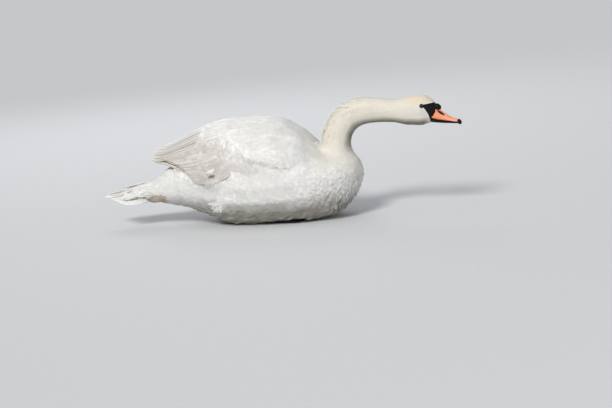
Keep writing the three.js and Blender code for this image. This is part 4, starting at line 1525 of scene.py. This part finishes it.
# %% Bill
BILL_VOXEL = 0.0008
NAIL_VOXEL = 0.6 * BILL_VOXEL
CHIN_X = 0.467  # behind here the lower bill is inside the head
upper_bill = smooth_twin(["bill_upper"], "upper_bill", BILL_VOXEL, 5)
lower_bill = smooth_twin(["bill_lower"], "lower_bill", BILL_VOXEL, 5)
nail = smooth_twin(["bill_nail"], "nail", NAIL_VOXEL, 30)
cut_off_beyond(lower_bill, (CHIN_X, 0, 0), (-1, 0, 0))

# %% Knob
KNOB_CENTRE = np.array([0.492, 0, 0.313])
KNOB_RADII = np.array([0.0137, 0.0095, 0.0115])
KNOB_STRETCH = 1.45  # how much longer it is behind its middle, where it runs into the forehead
KNOB_FLAT_TOP, KNOB_TILT, KNOB_FALL = 0.1, 0.14, 0.2
KNOB_LUMPS = 0.025
deselect()
bpy.ops.mesh.primitive_uv_sphere_add(segments=56, ring_count=36, radius=1)
knob = settle(bpy.context.object, "knob")
x, y, z = vertex_places(knob).T
x = np.where(x < 0, x * KNOB_STRETCH, x)
z = z * (1 - KNOB_FLAT_TOP * np.maximum(z, 0))
z = z + KNOB_TILT * np.maximum(-x, 0) - KNOB_FALL * np.maximum(x, 0) ** 2
lumps = 1 + KNOB_LUMPS * np.sin(7 * x + 3 * z) * np.cos(6 * y)
places = np.stack([x, y, z], 1) * lumps[:, None] * KNOB_RADII + KNOB_CENTRE
knob.data.vertices.foreach_set("co", places.ravel())
knob.data.update()
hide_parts("bill_knob")
print("knob", (2 * KNOB_RADII / MM).round(1), "mm")

# %% Colours of the horn
ORANGE = (0.70, 0.21, 0.075)
SALMON = (0.80, 0.32, 0.20)
BLACK = (0.005, 0.005, 0.0055)
WORN_BLACK = (0.010, 0.0095, 0.0095)
STREAK = (0.86, 0.42, 0.28)
SHEEN_OF_BLACK = 0.1  # specular level of bare black skin
print("bill from", ORANGE, "to", SALMON)


# %% Places on the bill
BASE_X, BASE_Z = 0.475, 0.288  # foremost point of the orange's rear edge
BASE_BEND_UP, BASE_BEND_DOWN = 21, 160  # how fast that edge bends forward above and below it
EDGE_X, EDGE_Z, EDGE_SLOPE = 0.493, 0.277, -0.165  # upper limit of the black along the cutting edge
NOSTRIL_X, NOSTRIL_Z = 0.5045, 0.296
NOSTRIL_COS, NOSTRIL_SIN = 0.799, 0.602  # it slopes down to the tip by 37 degrees
NOSTRIL_HALF = (0.0132, 0.0031)  # half its length and half its height
TIP_X = (0.49, 0.555)  # the orange turns to salmon between these
WOBBLE = 0.003  # how uneven the edges of the black are
BASE_BLUR, EDGE_BLUR = (-0.0006, 0.0006), (-0.0004, 0.0005)  # over these the black fades
NOSTRIL_END, NOSTRIL_BLUR = 1.15, 0.35  # where its black ends and how fast, by the square of the distance
STREAK_SCALE = (60, 300, 300)  # the streaks run along the bill
print("nostril and its groove:", [round(2 * half / MM, 1) for half in NOSTRIL_HALF], "mm")


# %% Bill material
def bill_material():
    """Orange horn, pinker to the tip, with black base, edge and nostril."""
    s = Shader("bill")
    place, x, y, z = s.object_place()
    wobble = (s.noise(place, 120, detail=2) - 0.5) * WOBBLE
    above, below = highest(z - BASE_Z, 0.0), highest(BASE_Z - z, 0.0)
    rear_edge = above * above * BASE_BEND_UP + below * below * BASE_BEND_DOWN + BASE_X
    base = ramp(rear_edge - x + wobble, *BASE_BLUR)
    cutting_edge = ramp((x - EDGE_X) * EDGE_SLOPE + EDGE_Z - z + wobble * 0.5, *EDGE_BLUR)
    run, rise = x - NOSTRIL_X, z - NOSTRIL_Z
    along = (run * NOSTRIL_COS - rise * NOSTRIL_SIN) / NOSTRIL_HALF[0]
    across = (run * NOSTRIL_SIN + rise * NOSTRIL_COS) / NOSTRIL_HALF[1]
    nostril = NOSTRIL_END - (along * along + across * across)
    dark = highest(base, cutting_edge, ramp(nostril, 0.0, NOSTRIL_BLUR))
    horn = s.mix(ramp(x, *TIP_X), ORANGE, SALMON)
    streaks = s.noise(s.stretched(place, STREAK_SCALE), 1, detail=4)
    horn = s.mix(ramp(streaks, 0.35, 0.75) * 0.35, horn, STREAK)
    pits = s.noise(place, 1400)
    black = s.mix(pits, BLACK, WORN_BLACK)
    normal = s.bump(streaks * 0.7 + pits * 0.3, 0.0005)
    tone = s.mix(dark, horn, black)
    return s.finish(Base_Color=tone, Roughness=pits * 0.15 + 0.3, Normal=normal, Coat_Weight=0.15)


def black_horn(name, grain, roughness, stretch=(1, 1, 1)):
    """Black horn or bare skin with fine wrinkles, drawn out along the piece by the stretch."""
    s = Shader(name)
    wrinkles = s.noise(s.stretched(s.object_place()[0], stretch), grain, detail=4)
    normal = s.bump(wrinkles, 0.0006)
    return s.finish(
        Base_Color=s.mix(wrinkles, BLACK, WORN_BLACK), Roughness=wrinkles * 0.25 + roughness, Normal=normal,
        Specular_IOR_Level=SHEEN_OF_BLACK,
    )


give(upper_bill, bill_material())
give(lower_bill, black_horn("lower mandible", 500, 0.35, (0.4, 1, 1)))
give(knob, black_horn("knob skin", 420, 0.4))
give(nail, black_horn("nail horn", 700, 0.3, (0.3, 1, 1)))
print("bill, knob and nail finished")

# %% [markdown]
# ## Eyes and lids
# The eyes are dark brown, almost black, and sit in rings of bare black skin. Each lid ring starts
# as a torus. It is drawn in from above and below into an almond, and laid onto the ball of the eye.


# %% Lids
OPENING = 0.0043  # half the width of the eye's opening
LID_THICKNESS = 0.0010
LID_GAP = 0.0002  # between the ball and the lids' middle line
ALMOND_LONG, ALMOND_HIGH, ALMOND_CORNER = 1.04, 0.84, 0.22  # shape of the opening, and of its front corner


def lay_lids(lid, side, sign):
    """Turn a flat torus into an almond of lids that lies on the ball of the eye."""
    gaze = GAZE * (1, sign, 1)
    front = unit(np.cross(gaze, (0, 0, 1)) * sign)
    top = np.cross(gaze, front) * -sign
    x, z, y = vertex_places(lid).T
    corner = 1 + ALMOND_CORNER * np.maximum(x / OPENING, 0) ** 2
    x, z = x * corner * ALMOND_LONG, z * ALMOND_HIGH
    bulge = np.sqrt(np.maximum((EYE_RADIUS + LID_GAP) ** 2 - x**2 - z**2, 0))
    places = np.outer(x, front) + np.outer(z, top) + np.outer(bulge + y, gaze) + np.array(EYE[side])
    lid.data.vertices.foreach_set("co", places.ravel())
    lid.data.update()


eyes, lids = [], []
for side, sign in SIDES.items():
    deselect()
    bpy.ops.mesh.primitive_uv_sphere_add(segments=64, ring_count=32, radius=EYE_RADIUS, location=EYE[side])
    ball = settle(bpy.context.object, f"eyeball_{side}")
    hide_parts(f"eye_{side}")
    eyes.append(ball)
    deselect()
    bpy.ops.mesh.primitive_torus_add(
        major_segments=56, minor_segments=12,
        major_radius=OPENING + LID_THICKNESS, minor_radius=LID_THICKNESS,
    )
    lid = settle(bpy.context.object, f"lids_{side}")
    lay_lids(lid, side, sign)
    edit(lid, bpy.ops.mesh.normals_make_consistent, inside=False)
    lids.append(lid)
print("two eyes", 2 * EYE_RADIUS / MM, "mm across, with lids")


# %% Finish of the eyes
PUPIL, IRIS = 0.0023, 0.0041  # radii
PUPIL_BLUR, IRIS_BLUR = 0.0003, 0.0004
PUPIL_BLACK, RIM_BLACK = (0.002, 0.002, 0.002), (0.008, 0.006, 0.006)
DARK_BROWN, LIGHT_BROWN = (0.020, 0.009, 0.005), (0.055, 0.026, 0.014)


def eye_material():
    """Brown iris round a black pupil, by the distance from the line of sight."""
    s = Shader("eye")
    place, x, y, z = s.object_place()
    dx, dy, dz = x - EYE["left"].x, abs(y) - EYE["left"].y, z - EYE["left"].z
    depth = dx * GAZE[0] + dy * GAZE[1] + dz * GAZE[2]
    across = highest(dx * dx + dy * dy + dz * dz - depth * depth, 0.0)
    reach = across.sum("SQRT", across)
    fibres = s.noise(place, 1500)
    iris = s.mix(fibres, DARK_BROWN, LIGHT_BROWN)
    inner = s.mix(ramp(reach, PUPIL, PUPIL + PUPIL_BLUR), PUPIL_BLACK, iris)
    tone = s.mix(ramp(reach, IRIS, IRIS + IRIS_BLUR), inner, RIM_BLACK)
    return s.finish(Base_Color=tone, Roughness=fibres * 0.02 + 0.05, Coat_Weight=0.2, Specular_IOR_Level=0.35)


eye_finish = eye_material()
lid_finish = black_horn("lid skin", 900, 0.5)
for ball, lid in zip(eyes, lids):
    give(ball, eye_finish)
    give(lid, lid_finish)
print("eyes look along", [round(v, 2) for v in GAZE])

# %% [markdown]
# ## Legs and feet
# The black feet are tucked under the belly. Their skin is a net of small scales with fine creases.

# %% Legs, feet and claws
FOOT_VOXEL, CLAW_VOXEL = 0.0016, 0.0006
CLAWS = [f"claw_{toe}_{side}" for toe in ("inner", "middle", "outer") for side in SIDES]
feet = [smooth_twin([f"leg_{side}", f"foot_{side}"], f"webbed_foot_{side}", FOOT_VOXEL, 3) for side in SIDES]
claws = smooth_twin(CLAWS, "claws", CLAW_VOXEL, 3)


# %% Finish of the feet
WEB_GREY, SCALE_BLACK = (0.035, 0.034, 0.034), (0.014, 0.013, 0.014)


def foot_material():
    s = Shader("foot skin")
    place = s.object_place()[0]
    scales = s.node("ShaderNodeTexVoronoi", values={"Vector": place, "Scale": 330})
    creases = s.noise(place, 500)
    tone = s.mix(scales * 1.4, WEB_GREY, SCALE_BLACK)
    normal = s.bump(creases * 0.3 - scales, 0.0006, 0.6)
    return s.finish(Base_Color=tone, Roughness=creases * 0.2 + 0.45, Normal=normal)


foot_finish = foot_material()
for foot in feet:
    give(foot, foot_finish)
give(claws, black_horn("claw horn", 600, 0.35))
print(len(CLAWS), "claws in one piece on", len(feet), "feet")

# %% [markdown]
# ## Feather and skin
# A vane is made of fine barbs that leave the shaft at a slant. They are too small to model, so the
# feather material draws them in its bump, from the map that measures each feather in metres. The
# skin has the same colours, and turns black inside the edge of the bare face.


# %% Feather material
BARB_PITCH = 0.0009
BARB_SLANT = 1.3  # how far along the shaft a barb runs for each metre away from it
GLOW, GLOW_DEPTH, GLOW_TINT = 0.35, 0.004, (1.0, 0.95, 0.9)  # light that comes through the vanes


def feather_material():
    s = Shader("feather")
    across, along, _ = s.split(s.node("ShaderNodeUVMap", {"uv_map": "vane"}))
    slant = (along - abs(across) * BARB_SLANT) * (2 * math.pi / BARB_PITCH)
    barbs = slant.sum("SINE", slant)
    place = s.object_place()[0]
    mottle = s.noise(place, 35, detail=4) * 0.10 + 0.95
    fine = s.noise(place, 900, detail=2)
    normal = s.bump(barbs * 0.5 + fine, 0.00012)
    return s.finish(
        Base_Color=s.painted(mottle), Roughness=fine * 0.2 + 0.58, Normal=normal,
        Subsurface_Weight=GLOW, Subsurface_Radius=GLOW_TINT, Subsurface_Scale=GLOW_DEPTH,
    )


feather = feather_material()
coat = [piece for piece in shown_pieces() if piece.name.startswith("coat_")]
for piece in coat:
    give(piece, feather)
print("feather material on", len(coat), "pieces")


# %% Skin material
def skin_material():
    """White down with the coat's markings, and pored black inside the edge of the bare face."""
    s = Shader("skin")
    place, x, _, z = s.object_place()
    bare = ramp(lores(x, z), -0.0003, 0.0003) * ramp(x, FACE_X, FACE_X + 0.001)
    pores = s.noise(place, 700)
    down = s.noise(place, 160, detail=4)
    white = s.painted(down * 0.2 + 0.85)
    black = s.mix(pores, BLACK, WORN_BLACK)
    normal = s.bump(pores, 0.0004)
    return s.finish(
        Base_Color=s.mix(bare, white, black), Roughness=bare * -0.2 + 0.75, Normal=normal,
        Specular_IOR_Level=SHEEN_OF_BLACK,
    )


give(skin, skin_material())
print("skin finished, black inside the face")


# %% Floor material
FLOOR_GREY, FLOOR_LIGHT_GREY = (0.55, 0.56, 0.58), (0.585, 0.595, 0.615)


def floor_material():
    s = Shader("pale floor")
    grain = s.noise(s.object_place()[0], 60)
    tone = s.mix(grain, FLOOR_GREY, FLOOR_LIGHT_GREY)
    return s.finish(Base_Color=tone, Roughness=0.75)


give(floor, floor_material())
print("floor finished")
